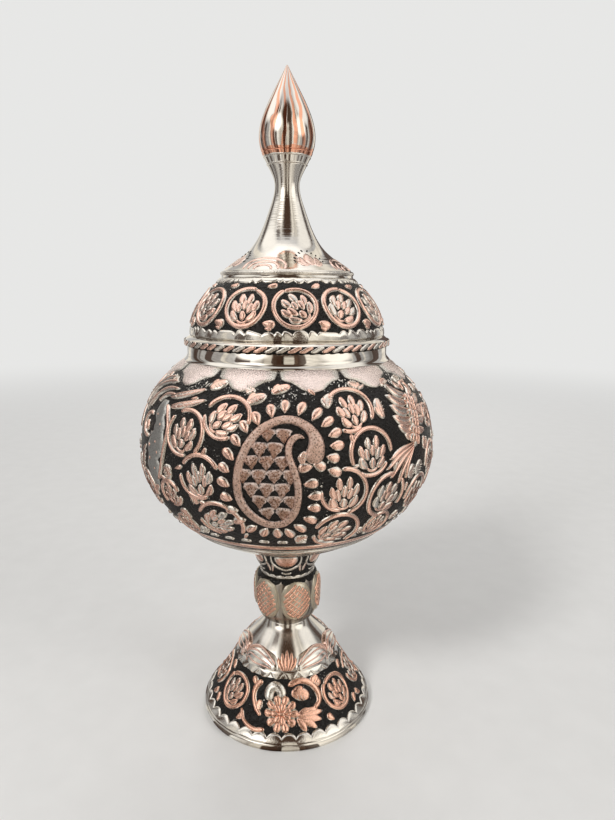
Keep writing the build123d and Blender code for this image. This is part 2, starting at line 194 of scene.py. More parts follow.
# ------------------------------------------------------------------ shader nodes
class Recipe:
    """The nodes of one material, world or group, added and joined one at a time."""

    def __init__(self, tree: bpy.types.NodeTree) -> None:
        """Start from an empty tree."""
        tree.nodes.clear()
        self.tree = tree

    def feed(self, node: Node, feeds: Mapping[str | int, object]) -> Node:
        """Feed a node's inputs.

        Args:
            node: the node.
            feeds: sockets or values, by input.

        Returns:
            The same node.
        """
        for key, value in feeds.items():
            if isinstance(value, Socket):
                self.tree.links.new(value, node.inputs[key])
            else:
                node.inputs[key].default_value = value
        return node

    def add(
        self, kind: str, feeds: Mapping[str | int, object] | None = None, **settings: object
    ) -> Node:
        """Add a node.

        Args:
            kind: its type, after ShaderNode.
            feeds: sockets or values, by input.
            settings: its own properties.

        Returns:
            The new node.
        """
        node = self.tree.nodes.new(f"ShaderNode{kind}")
        for name, value in settings.items():
            setattr(node, name, value)
        return self.feed(node, feeds or {})

    def maths(self, operation: str, *values: object, clamp: bool = False) -> Socket:
        """Add a maths node and give its result."""
        feeds = dict(enumerate(values))
        return self.add("Math", feeds, operation=operation, use_clamp=clamp).outputs[0]

    def vector(self, operation: str, *values: object) -> Socket:
        """Add a vector maths node and give its result, which is a value for a length or a dot product."""
        outputs = self.add("VectorMath", dict(enumerate(values)), operation=operation).outputs
        return outputs["Value" if operation in ("LENGTH", "DOT_PRODUCT") else "Vector"]

    def split(self, vector: Socket) -> tuple[Socket, ...]:
        """Give the x, y and z of a vector."""
        return tuple(self.add("SeparateXYZ", {0: vector}).outputs)

    def angle(self, vector: Socket) -> Socket:
        """Give the angle round the axis at which a place lies, from the front."""
        x, y, _ = self.split(vector)
        return self.maths("ARCTAN2", x, self.maths("MULTIPLY", y, -1.0))

    def noise(
        self, place: Socket, scale: float, detail: float = 2.0, rough: float = 0.5, out: str | int = 0
    ) -> Socket:
        """Add soft noise in space.

        Args:
            place: where it is read.
            scale: how fine it is.
            detail: its finer layers.
            rough: how strong they are.
            out: the output that is wanted.

        Returns:
            The output's socket.
        """
        feeds = {"Vector": place, "Scale": scale, "Detail": detail, "Roughness": rough}
        return self.add("TexNoise", feeds).outputs[out]

    def noise_along(self, along: Socket, scale: object, detail: float, rough: float = 0.5) -> Socket:
        """Add soft noise along one value."""
        feeds = {"W": along, "Scale": scale, "Detail": detail, "Roughness": rough}
        return self.add("TexNoise", feeds, noise_dimensions="1D").outputs[0]

    def steps(self, value: Socket, stops: Sequence[tuple[float, Sequence[float]]]) -> Socket:
        """Turn a value into a colour.

        Args:
            value: the socket that is read.
            stops: places and colours, in order.

        Returns:
            The colour's socket.
        """
        node = self.add("ValToRGB", {0: value})
        ramp = node.color_ramp
        ramp.interpolation = "EASE"
        while len(ramp.elements) < len(stops):
            ramp.elements.new(0.5)
        for element, (position, colour) in zip(ramp.elements, stops):
            element.position = position
            element.color = rgb(*colour)
        return node.outputs[0]

    def range(self, value: Socket, low: float, high: float, to_low: object, to_high: object) -> Socket:
        """Map a value from one range to another, and stop at its ends."""
        feeds = {0: value, 1: low, 2: high, 3: to_low, 4: to_high}
        return self.add("MapRange", feeds, interpolation_type="SMOOTHSTEP").outputs[0]

    def share(self, value: Socket, low: float, high: float) -> Socket:
        """Map a range to 0 and 1, and stop at its ends; the range may run downwards."""
        ends = (low, high, 0.0, 1.0) if low < high else (high, low, 1.0, 0.0)
        return self.range(value, *ends)

    def blend(self, share: object, first: object, second: object) -> Socket:
        """Mix two colours."""
        feeds = {0: share, 6: first, 7: second}
        return self.add("Mix", feeds, data_type="RGBA", clamp_factor=True).outputs[2]

    def bump(self, height: Socket, strength: float, distance: float) -> Socket:
        """Turn heights into a normal."""
        return self.add("Bump", {"Height": height, "Strength": strength, "Distance": distance}).outputs[0]

    def metal(self, colour: Socket, rough: Socket, normal: Socket | None = None, shine: object = 1.0,
              **more: float) -> Node:
        """Add the shader of a metal.

        Args:
            colour: its colour.
            rough: its roughness.
            normal: its own normal, if any.
            shine: how much of it is metal.
            more: further inputs of the shader, by name.

        Returns:
            The shader.
        """
        feeds = {"Base Color": colour, "Roughness": rough, "Metallic": shine, **more}
        if normal is not None:
            feeds["Normal"] = normal
        return self.add("BsdfPrincipled", feeds)


def rgb(red: float, green: float, blue: float) -> Colour:
    """Give an opaque colour."""
    return red, green, blue, 1.0


def darker(colour: Colour, share: float) -> Colour:
    """Give a share of a colour."""
    return rgb(*(share * c for c in colour[:3]))


class Effect(Enum):
    """Shared effects, each one a node group."""

    PUNCHED = "punched_ground"
    TURNING = "turning_lines"
    HANDLED = "handled_surface"
    SCRAPED = "scraped_tin"


Sockets = Mapping[str, Socket]


def punched_ground(recipe: Recipe, given: Sockets) -> Sockets:
    """Build dents of a round punch, and specks of tin between them.

    Args:
        recipe: the nodes.
        given: Position, Pitch and Wear.

    Returns:
        Height of the ground, and the mask of Specks.
    """
    place = given["Position"]
    bent = recipe.vector("MULTIPLY", recipe.noise(place, 260.0, out="Color"), (0.0006,) * 3)
    cells = {"Vector": recipe.vector("ADD", place, bent), "Scale": given["Pitch"]}
    dent = recipe.share(recipe.add("TexVoronoi", cells).outputs["Distance"], 0.05, 0.62)
    both = recipe.maths("MULTIPLY", recipe.noise(place, 95.0, 5.0, 0.7), recipe.noise(place, 1700.0))
    ridge = recipe.maths("MULTIPLY", both, recipe.range(dent, 0.45, 1.0, 0.35, 1.0))
    edge = recipe.maths("SUBTRACT", 0.42, recipe.maths("MULTIPLY", given["Wear"], 0.2))
    return {"Height": dent, "Specks": recipe.share(recipe.maths("SUBTRACT", ridge, edge), 0.0, 0.05)}


def turning_lines(recipe: Recipe, given: Sockets) -> Sockets:
    """Build the fine rings that a turning tool leaves round the axis.

    Args:
        recipe: the nodes.
        given: Position and Pitch.

    Returns:
        Height of the rings.
    """
    x, y, z = recipe.split(given["Position"])
    radius = recipe.vector("LENGTH", recipe.add("CombineXYZ", {0: x, 1: y}).outputs[0])
    return {"Height": recipe.noise_along(recipe.maths("ADD", radius, z), given["Pitch"], 3.0, 0.75)}


def handled_surface(recipe: Recipe, given: Sockets) -> Sockets:
    """Build the masks of smudges and hairline scratches from handling."""
    smudge = recipe.noise(given["Position"], 45.0, 6.0, 0.65)
    hair = recipe.noise(recipe.vector("MULTIPLY", given["Position"], (1.0, 1.0, 0.06)), 2600.0, 1.0)
    return {"Smudge": recipe.share(smudge, 0.35, 0.75), "Scratch": recipe.share(hair, 0.62, 0.72)}


def scraped_tin(recipe: Recipe, given: Sockets) -> Sockets:
    """Build the mask of copper that a graver has laid bare through the tin.

    Args:
        recipe: the nodes.
        given: Position, Rise and Tone.

    Returns:
        Mask of bare Copper.
    """
    patches = recipe.noise(given["Position"], 520.0, 4.0, 0.7), recipe.noise(given["Position"], 60.0)
    shifts = [recipe.maths("MULTIPLY_ADD", patch, 0.5, -0.25) for patch in (*patches, given["Tone"])]
    bare = recipe.maths("ADD", given["Rise"], recipe.maths("ADD", shifts[0], shifts[1]))
    return {"Copper": recipe.share(recipe.maths("ADD", bare, shifts[2]), 0.55, 0.82)}


EffectBuilder = Callable[[Recipe, Sockets], Sockets]
EFFECT_PARTS: dict[Effect, tuple[EffectBuilder, tuple[str, ...], tuple[str, ...]]] = {
    Effect.PUNCHED: (punched_ground, ("Pitch", "Wear"), ("Height", "Specks")),
    Effect.TURNING: (turning_lines, ("Pitch",), ("Height",)),
    Effect.HANDLED: (handled_surface, (), ("Smudge", "Scratch")),
    Effect.SCRAPED: (scraped_tin, ("Rise", "Tone"), ("Copper",)),
}


def effect_group(effect: Effect) -> bpy.types.ShaderNodeTree:
    """Give the node group of an effect, and build it the first time.

    Args:
        effect: the effect.

    Returns:
        Its node group.
    """
    tree = bpy.data.node_groups.get(effect.value)
    if tree is not None:
        return tree
    tree = bpy.data.node_groups.new(effect.value, "ShaderNodeTree")
    build, given_names, out_names = EFFECT_PARTS[effect]
    tree.interface.new_socket("Position", in_out="INPUT", socket_type="NodeSocketVector")
    for names, way in ((given_names, "INPUT"), (out_names, "OUTPUT")):
        for name in names:
            tree.interface.new_socket(name, in_out=way, socket_type="NodeSocketFloat")
    recipe = Recipe(tree)
    given = tree.nodes.new("NodeGroupInput").outputs
    recipe.feed(tree.nodes.new("NodeGroupOutput"), build(recipe, given))
    return tree


# ------------------------------------------------------------------ finishes
class Metal(Enum):
    """Metals that show on the bowl, as colours of their polished face."""

    TIN = rgb(0.80, 0.76, 0.70)
    COPPER = rgb(0.92, 0.60, 0.49)
    PINK_COPPER = rgb(0.93, 0.68, 0.59)
    WARM_COPPER = rgb(0.88, 0.52, 0.39)
    RED_COPPER = rgb(0.86, 0.43, 0.29)
    ROSE = rgb(0.98, 0.83, 0.78)
    UMBER = rgb(0.74, 0.51, 0.42)
    BROWN = rgb(0.46, 0.28, 0.21)
    PEWTER = rgb(0.56, 0.56, 0.54)
    BEIGE = rgb(0.66, 0.60, 0.49)
    STEEL = rgb(0.52, 0.52, 0.51)
    DARK = rgb(0.36, 0.32, 0.28)
    # Black of the punched ground and the blackened dents; also used as painted shade down the sides of the
    # raised work.
    PATINA_AND_SHADE = rgb(0.008, 0.007, 0.0065)


@dataclass(frozen=True)
class Finish:
    """A finish of the bowl: a name and the numbers that its recipe needs."""

    name: str

    def fill(self, recipe: Recipe, place: Socket) -> Node:
        """Build the shader and give its node."""
        raise NotImplementedError

    def material(self) -> bpy.types.Material:
        """Give the material of this finish, and build it the first time.

        Returns:
            The material.
        """
        found = bpy.data.materials.get(self.name)
        if found is not None:
            return found
        material = bpy.data.materials.new(self.name)
        material.use_nodes = True
        recipe = Recipe(material.node_tree)
        place = recipe.add("TexCoord").outputs["Object"]
        recipe.add("OutputMaterial", {"Surface": self.fill(recipe, place).outputs[0]})
        return material

    def effect(self, recipe: Recipe, effect: Effect, place: Socket, **values: object) -> Sockets:
        """Place a shared effect in this material with its own values, and give what it puts out."""
        node = recipe.add("Group", node_tree=effect_group(effect))
        return recipe.feed(node, {"Position": place, **values}).outputs


@dataclass(frozen=True)
class TurnedMetal(Finish):
    """Metal polished on the lathe, with faint rings and marks of handling."""

    metal: Metal = Metal.TIN
    roughness: float = 0.10
    ring_pitch: float = 900.0
    ring_depth: float = 0.12
    dulling: float = 0.12
    shine: float = 1.0

    def fill(self, recipe: Recipe, place: Socket) -> Node:
        """Build rings and smudges in the metal.

        Args:
            recipe: the nodes.
            place: coordinates.

        Returns:
            The shader.
        """
        rings = self.effect(recipe, Effect.TURNING, place, Pitch=self.ring_pitch)
        marks = self.effect(recipe, Effect.HANDLED, place)
        rough = recipe.maths("MULTIPLY_ADD", marks["Smudge"], self.dulling, self.roughness)
        rough = recipe.maths("MULTIPLY_ADD", marks["Scratch"], 0.06, rough)
        colour = recipe.blend(marks["Smudge"], self.metal.value, darker(self.metal.value, 0.82))
        height = recipe.maths("MULTIPLY_ADD", marks["Smudge"], 0.3, rings["Height"])
        return recipe.metal(colour, rough, recipe.bump(height, self.ring_depth, 0.0004), self.shine)


@dataclass(frozen=True)
class PunchedGround(Finish):
    """The sunk ground between the raised work: dented with a punch and blackened.

    It is more worn from one height on.
    """

    pitch: float = 900.0
    wear: float = 0.0
    worn: float = 0.0
    worn_from: float = 158.0
    worn_over: float = 12.0

    def fill(self, recipe: Recipe, place: Socket) -> Node:
        """Build dents in the black, and specks of tin.

        Args:
            recipe: the nodes.
            place: coordinates.

        Returns:
            The shader.
        """
        ends = (self.worn_from * MM, (self.worn_from + self.worn_over) * MM, self.wear, self.wear + self.worn)
        worn = recipe.range(recipe.split(place)[2], *ends)
        ground = self.effect(recipe, Effect.PUNCHED, place, Pitch=self.pitch, Wear=worn)
        specks = ground["Specks"]
        colour = recipe.blend(specks, Metal.PATINA_AND_SHADE.value, Metal.TIN.value)
        rough = recipe.range(specks, 0.0, 1.0, 0.42, 0.25)
        normal = recipe.bump(ground["Height"], 0.9, 0.0005)
        return recipe.metal(colour, rough, normal, specks, **{"Specular IOR Level": 0.28})


@dataclass(frozen=True)
class ChasedMetal(Finish):
    """Raised work: copper on its crown, tin on its shoulders, and black down its sides, which is partly the
    black fill and partly painted shade.
    """

    copper: Metal = Metal.COPPER
    tin: Metal = Metal.TIN
    bare: float = -0.06
    roughness: float = 0.14
    grain: float = 1100.0
    bump: float = 0.40
    stipple: float = 0.0
    # How strongly the sides are blackened: partly the black fill, partly painted shade.
    edge: float = 1.0

    def stippled(self, recipe: Recipe, place: Socket, metal: Socket) -> Socket:
        """Dent the metal with a fine punch, and blacken the dents.

        Args:
            recipe: the nodes.
            place: coordinates.
            metal: the metal's colour.

        Returns:
            The colour with its dents.
        """
        punch = self.effect(recipe, Effect.PUNCHED, place, Pitch=1150.0, Wear=0.9)
        pits = recipe.range(punch["Height"], 0.05, 0.75, self.stipple, 0.0)
        specks = recipe.maths("MULTIPLY", punch["Specks"], 0.6 * self.stipple)
        return recipe.blend(pits, recipe.blend(specks, metal, self.tin.value), Metal.PATINA_AND_SHADE.value)

    def fill(self, recipe: Recipe, place: Socket) -> Node:
        """Build copper, tin and black by how far the work rises; the black low down the sides is partly
        painted shade.

        Args:
            recipe: the nodes.
            place: coordinates.

        Returns:
            The shader.
        """
        rise, tone = (recipe.add("Attribute", attribute_name=key).outputs["Fac"] for key in ("rise", "tone"))
        crown = recipe.maths("ADD", rise, self.bare)
        mask = self.effect(recipe, Effect.SCRAPED, place, Rise=crown, Tone=tone)
        metal = recipe.blend(mask["Copper"], self.tin.value, self.copper.value)
        if self.stipple:
            metal = self.stippled(recipe, place, metal)
        # Black low down the sides: partly the black fill, partly painted shade where the work drops to the
        # ground.
        side = recipe.range(rise, 0.06, 0.36, self.edge, 0.0)
        colour = recipe.blend(side, metal, Metal.PATINA_AND_SHADE.value)
        grain = recipe.noise(place, self.grain, 3.0, 0.7)
        rough = recipe.maths("MULTIPLY_ADD", grain, 0.22, self.roughness - 0.09)
        return recipe.metal(colour, rough, recipe.bump(grain, self.bump, 0.0003))


@dataclass(frozen=True)
class StripedBud(Finish):
    """The finial's bud: tin with upright stripes and a low band where copper is laid bare."""

    stripes: float = 16.0
    band_low: float = 262.5
    band_high: float = 265.3
    band_soft: Point = (0.25, 0.6)

    def fill(self, recipe: Recipe, place: Socket) -> Node:
        """Build the stripes above the band, swayed a little, and the band.

        Args:
            recipe: the nodes.
            place: coordinates.

        Returns:
            The shader.
        """
        sway = recipe.noise(recipe.vector("MULTIPLY", place, (1.0, 1.0, 0.35)), 120.0)
        swayed = recipe.maths("MULTIPLY_ADD", sway, 0.62, recipe.angle(place))
        count = recipe.maths("MULTIPLY", swayed, self.stripes / (2 * math.pi))
        wave = recipe.maths("PINGPONG", count, 0.5)
        middle = recipe.maths("SUBTRACT", sway, 0.5)
        height = recipe.maths("MULTIPLY_ADD", middle, 0.005, recipe.split(place)[2])
        low, high = self.band_low * MM, self.band_high * MM
        low_end, high_end = low + self.band_soft[0] * MM, high + self.band_soft[1] * MM
        below = recipe.share(height, high_end, high)
        band = recipe.maths("MULTIPLY", recipe.share(height, low, low_end), below)
        above = recipe.share(height, high, high_end)
        stripe = recipe.maths("MULTIPLY", recipe.share(wave, 0.27, 0.33), above)
        mask = recipe.maths("MAXIMUM", band, stripe, clamp=True)
        marks = self.effect(recipe, Effect.HANDLED, place)
        colour = recipe.blend(mask, Metal.TIN.value, Metal.RED_COPPER.value)
        rough = recipe.maths("MULTIPLY_ADD", marks["Smudge"], 0.08, 0.05)
        return recipe.metal(colour, rough, recipe.bump(recipe.share(wave, 0.30, 0.25), 0.35, 0.0001))


@dataclass(frozen=True)
class FastenerSteel(Finish):
    """Plain plated steel of the rods, washers and nuts."""

    metal: Metal = Metal.STEEL
    roughness: float = 0.34

    def fill(self, recipe: Recipe, place: Socket) -> Node:
        """Build the spangle of the plating.

        Args:
            recipe: the nodes.
            place: coordinates.

        Returns:
            The shader.
        """
        spangle = recipe.add("TexVoronoi", {"Vector": place, "Scale": 700.0}).outputs["Distance"]
        rough = recipe.maths("MULTIPLY_ADD", spangle, 0.16, self.roughness)
        return recipe.metal(recipe.blend(spangle, self.metal.value, darker(self.metal.value, 0.7)), rough)


POLISHED_TIN = TurnedMetal("polished_tin")
NECK_TIN = TurnedMetal("ringed_tin", ring_depth=0.22, roughness=0.07)
SATIN_TIN = TurnedMetal("satin_tin", roughness=0.30, ring_depth=0.2, dulling=0.2, shine=0.45)
DARK_TIN = TurnedMetal("dark_tin", metal=Metal.DARK, roughness=0.14)
BRIGHT_TIN = TurnedMetal("bright_tin", roughness=0.03, ring_depth=0.03, dulling=0.05)
GROUND = PunchedGround("punched_black_ground", wear=0.16)
WORN_GROUND = PunchedGround("worn_black_ground", wear=0.2, worn=0.42)
CHASED = ChasedMetal("chased_copper")
WARM = ChasedMetal("warm_copper", copper=Metal.WARM_COPPER, bare=-0.03)
ROSE = ChasedMetal(
    "rose_copper", copper=Metal.ROSE, bare=-0.04, roughness=0.24, grain=1900.0, bump=0.7, stipple=0.05
)
SCRATCHED = ChasedMetal(
    "scratched_copper", copper=Metal.PINK_COPPER, bare=0.4, roughness=0.18, bump=0.3, edge=0.0
)
STIPPLED = ChasedMetal(
    "stippled_copper", copper=Metal.UMBER, tin=Metal.ROSE, bare=0.12, roughness=0.30, grain=900.0,
    bump=1.6, stipple=0.7,
)
SCALES = ChasedMetal(
    "brown_scales", copper=Metal.BROWN, tin=Metal.ROSE, bare=0.10, roughness=0.28, grain=900.0,
    bump=1.6, stipple=0.8,
)
ALL_TIN = -0.9
TIN_WORK = ChasedMetal("chased_tin", bare=ALL_TIN, roughness=0.16)
BRIGHT_WORK = ChasedMetal("bright_tin_work", bare=ALL_TIN, roughness=0.10, bump=0.12)
WING_TIN = ChasedMetal("wing_tin", bare=ALL_TIN, roughness=0.12, bump=0.1)
BEIGE_TIN = ChasedMetal("beige_tin", tin=Metal.BEIGE, bare=-0.6, roughness=0.32)
SILVER_PATCH = ChasedMetal(
    "silver_patch", tin=Metal.PEWTER, bare=ALL_TIN, roughness=0.34, grain=500.0, bump=0.8, stipple=0.4
)
BUD = StripedBud("striped_bud")
STEEL = FastenerSteel("plated_steel")
CHROME = FastenerSteel("bright_nut", metal=Metal.TIN, roughness=0.08)


# ------------------------------------------------------------------ pieces
@dataclass(frozen=True)
class Stock:
    """What a piece rides on and is made of: its CAD body, and the name of a slot."""

    body: str
    slot: str


BASE_TIN, BASE_CHASED = Stock("base", "tinned_copper"), Stock("base", "engraved_copper")
LID_TIN, LID_CHASED = Stock("lid", "tinned_copper"), Stock("lid", "engraved_copper")


def add_piece(
    name: str, work: BMesh, finishes: Sequence[Finish], stock: Stock, *replaces: str
) -> bpy.types.Object:
    """Finish a mesh, dress it and set it on its body.

    Args:
        name: the piece's name.
        work: its mesh, used up.
        finishes: one for each index.
        stock: its body and slot.
        replaces: the CAD nodes it stands for.

    Returns:
        The piece.
    """
    bmesh.ops.scale(work, vec=(MM, MM, MM), verts=work.verts)
    for face in work.faces:
        face.smooth = True
    piece = place_mesh(name, work, finishes)
    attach(piece, stock.body)
    if replaces:
        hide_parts(*replaces)
    LOG.info("%s: %d faces", name, len(piece.data.polygons))
    return piece


def place_mesh(name: str, work: BMesh, finishes: Sequence[Finish]) -> bpy.types.Object:
    """Make an object of a mesh and put it in the scene.

    Args:
        name: the object's name.
        work: its mesh, used up.
        finishes: one for each index.

    Returns:
        The object.
    """
    mesh = bpy.data.meshes.new(name)
    work.to_mesh(mesh)
    work.free()
    for finish in finishes:
        mesh.materials.append(finish.material())
    piece = bpy.data.objects.new(name, mesh)
    bpy.context.scene.collection.objects.link(piece)
    return piece


@dataclass(frozen=True)
class Zone:
    """A turned zone of a shell: the height up to which it reaches, and its material index."""

    top: float
    index: int


ALL_OUTSIDE = (Zone(TOP, 0),)


def faces_inwards(face: BMFace, inner: Rows) -> bool:
    """Say whether a face belongs to a shell's inside.

    Args:
        face: the face.
        inner: rows of radius and height inside.

    Returns:
        Whether it lies there and looks in.
    """
    middle = face.calc_center_median()
    radius = math.hypot(middle.x, middle.y)
    near, upright = 0.3, 0.02
    if not len(inner) or np.hypot(inner[:, 0] - radius, inner[:, 1] - middle.z).min() >= near:
        return False
    return face.normal.dot(Vector((middle.x, middle.y, 0))) <= upright * radius


def spun_shell(
    section: Rows, zones: Sequence[Zone] = ALL_OUTSIDE, inside_index: int = 0, inner_from: int = 0,
    steps: int = 192,
) -> BMesh:
    """Spin a closed section round the axis.

    Args:
        section: rows of radius and height.
        zones: the outside's, from the lowest.
        inside_index: the inside's index.
        inner_from: the inside's first row, or 0 for none.
        steps: faces round it.

    Returns:
        The mesh, in millimetres.
    """
    work = bmesh.new()
    rim = [work.verts.new((float(r), 0.0, float(z))) for r, z in section]
    for first, second in zip(rim, rim[1:] + rim[:1]):
        work.edges.new((first, second))
    ring = [*work.verts, *work.edges]
    axis = {"cent": (0, 0, 0), "axis": (0, 0, 1), "angle": 2 * math.pi}
    bmesh.ops.spin(work, geom=ring, steps=steps, use_merge=True, **axis)
    bmesh.ops.remove_doubles(work, verts=work.verts, dist=0.0005)
    bmesh.ops.recalc_face_normals(work, faces=work.faces)
    inner = (section[inner_from:-1] + section[inner_from + 1:]) / 2 if inner_from else np.zeros((0, 2))
    for face in work.faces:
        height = face.calc_center_median().z
        outside = next((zone.index for zone in zones if height < zone.top), 0)
        face.material_index = inside_index if faces_inwards(face, inner) else outside
    return work


def spin_sheet(
    name: str, surface: TurnedSurface, wall: float, finishes: Sequence[Finish], stock: Stock, node: str,
    zones: Sequence[Zone] = ALL_OUTSIDE, steps: int = 192,
) -> None:
    """Spin a sheet and set it on its body.

    Args:
        name: the piece's name.
        surface: its outside.
        wall: its thickness.
        finishes: its zones', then its inside's.
        stock: its body and slot.
        node: the CAD node it stands for.
        zones: the outside's, from the lowest.
        steps: faces round it.
    """
    section, inside = surface.closed(wall)
    work = spun_shell(section, zones, len(finishes) - 1, inside, steps)
    add_piece(name, work, finishes, stock, node)


# ------------------------------------------------------------------ raised work
class Section(Enum):
    """How a strip of raised work rises across its width."""

    ROUND = "rounded over, as a wire"
    PAD = "flat, with rounded shoulders"
    LEAF = "rounded, with a groove down its midrib"
    DISH = "rounded over gently, from edge to edge"
    FLAT = "flat, with a short slope at its edges"

    def rise(self, across: Rows) -> Rows:
        """Give the rise at places across the width.

        Args:
            across: the places, from -1 to 1.

        Returns:
            The rise, from 0 to 1.
        """
        side = np.clip(np.abs(across), 0, 1)
        if self is Section.ROUND:
            return (1 - side**2) ** 0.72
        if self is Section.LEAF:
            return (1 - side**2) ** 0.72 * (1 - 0.42 * np.exp(-((side / 0.22) ** 2)))
        if self is Section.PAD:
            return (1 - side**5) ** 0.8
        if self is Section.DISH:
            return (1 - side**2) ** 0.55
        return 1 - side**14


@dataclass(frozen=True)
class Place:
    """Where a motif goes on its surface, and how it lies there.

    The angle is in degrees from the front, the height in millimetres, and the
    turn in degrees against the clock.
    """

    angle: float
    height: float
    turn: float = 0.0
    size: float = 1.0
    flip: bool = False

    def lay(self, points: Rows) -> Rows:
        """Turn, size and flip flat points about the motif's own middle.

        Args:
            points: rows of right, up and outwards.

        Returns:
            The rows as they lie.
        """
        c, s = math.cos(math.radians(self.turn)), math.sin(math.radians(self.turn))
        x = -points[:, 0] if self.flip else points[:, 0]
        y = points[:, 1]
        laid = points.copy()
        laid[:, 0] = self.size * (c * x - s * y)
        laid[:, 1] = self.size * (s * x + c * y)
        return laid


def round_axis(count: int, start: float = 0.0) -> list[float]:
    """Give angles spread evenly round the axis."""
    return [start + k * 360 / count for k in range(count)]


def smooth_path(points: Sequence[Point], steps: int = 8) -> Rows:
    """Draw a smooth line through points.

    Args:
        points: where the line passes.
        steps: parts between two points.

    Returns:
        Rows of x and y.
    """
    marks = np.array(points, float)
    marks = np.vstack((2 * marks[:1] - marks[1:2], marks, 2 * marks[-1:] - marks[-2:-1]))
    rows = []
    t = np.linspace(0, 1, steps, endpoint=False)[:, None]
    for a, b, c, d in zip(marks, marks[1:], marks[2:], marks[3:]):
        square, cube = 2 * a - 5 * b + 4 * c - d, 3 * b - a - 3 * c + d
        rows.append(0.5 * (2 * b + (c - a) * t + square * t**2 + cube * t**3))
    rows.append(marks[-2:-1])
    return np.vstack(rows)


def arc_path(
    radius: float, start: float, stop: float, end_radius: float | None = None, centre: Point = (0, 0),
    steps: int = 40,
) -> Rows:
    """Draw an arc, or a spiral.

    Args:
        radius: its radius.
        start: its first angle, from the right.
        stop: its last angle.
        end_radius: its last radius.
        centre: its middle.
        steps: its parts.

    Returns:
        Rows of x and y.
    """
    t = np.linspace(0, 1, steps + 1)
    turn = np.radians(start + (stop - start) * t)
    size = radius + ((radius if end_radius is None else end_radius) - radius) * t
    return np.column_stack((centre[0] + size * np.cos(turn), centre[1] + size * np.sin(turn)))


def level(value: float) -> Curve:
    """Give a curve that keeps one value."""
    return lambda t: np.full_like(t, value)


def through(values: Sequence[float], marks: Sequence[float] | None = None) -> Curve:
    """Give a curve of straight runs through values, evenly spaced where no marks are given."""
    places = np.linspace(0, 1, len(values)) if marks is None else marks
    return lambda t: np.interp(t, places, values)


def even(width: float, taper: float = 0.0) -> Curve:
    """Give a strip one half width, rounded in at both ends over a share of its length.

    Args:
        width: the half width.
        taper: that share.

    Returns:
        The half width.
    """
    if taper <= 0:
        return level(width)
    return lambda t: width * rounded_in(np.clip(np.minimum(t, 1 - t) / taper, 0, 1))


def rounded_in(share: Rows) -> Rows:
    """Give a quarter round, from 0 up to 1."""
    return np.sqrt(np.maximum(0.0, 1 - (1 - share) ** 2))


def almond(width: float, fullness: float = 0.8, skew: float = 1.0) -> Curve:
    """Give a leaf its half width: pointed at both ends."""
    return lambda t: width * np.sin(math.pi * np.clip(t, 0, 1) ** skew) ** fullness


def drop_shape(width: float, belly: float = 0.62) -> Curve:
    """Give a drop its half width: pointed at its start and round at its end.

    Args:
        width: that at its belly.
        belly: where that is, as a share of its length.

    Returns:
        The half width.
    """
    def half(t: Rows) -> Rows:
        """Give the half width, which rises to the belly and rounds off after it."""
        rising = np.sin(0.5 * math.pi * np.clip(t / belly, 0, 1)) ** 0.8
        falling = np.sqrt(np.maximum(0.0, 1 - np.clip((t - belly) / (1 - belly), 0, 1) ** 2))
        return width * np.where(t < belly, rising, falling)
    return half


def scalloped(height: float, depth: float, count: int, shift: float = 0.0) -> Curve:
    """Give a band an edge of round scallops that reach a depth from a height."""
    return lambda turn: height + depth * np.abs(np.sin(math.pi * (count * turn + shift))) ** 0.5


def waved(height: float, depth: float, count: int) -> Curve:
    """Give a band an edge of leaning waves, steep on one side and uneven round the axis.

    Args:
        height: where the edge starts.
        depth: how far they reach.
        count: how many they are.

    Returns:
        The edge's height.
    """
    def edge(turn: Rows) -> Rows:
        """Give the edge's height at shares of a turn."""
        uneven = 0.3 * np.sin(2 * math.pi * 7 * turn) + 0.25 * np.sin(2 * math.pi * 19 * turn + 1)
        phase = (count * turn + uneven) % 1.0
        reach = 1 + 0.25 * np.sin(2 * math.pi * 11 * turn)
        return height + depth * reach * np.sin(math.pi * phase**0.7) ** 0.6
    return edge


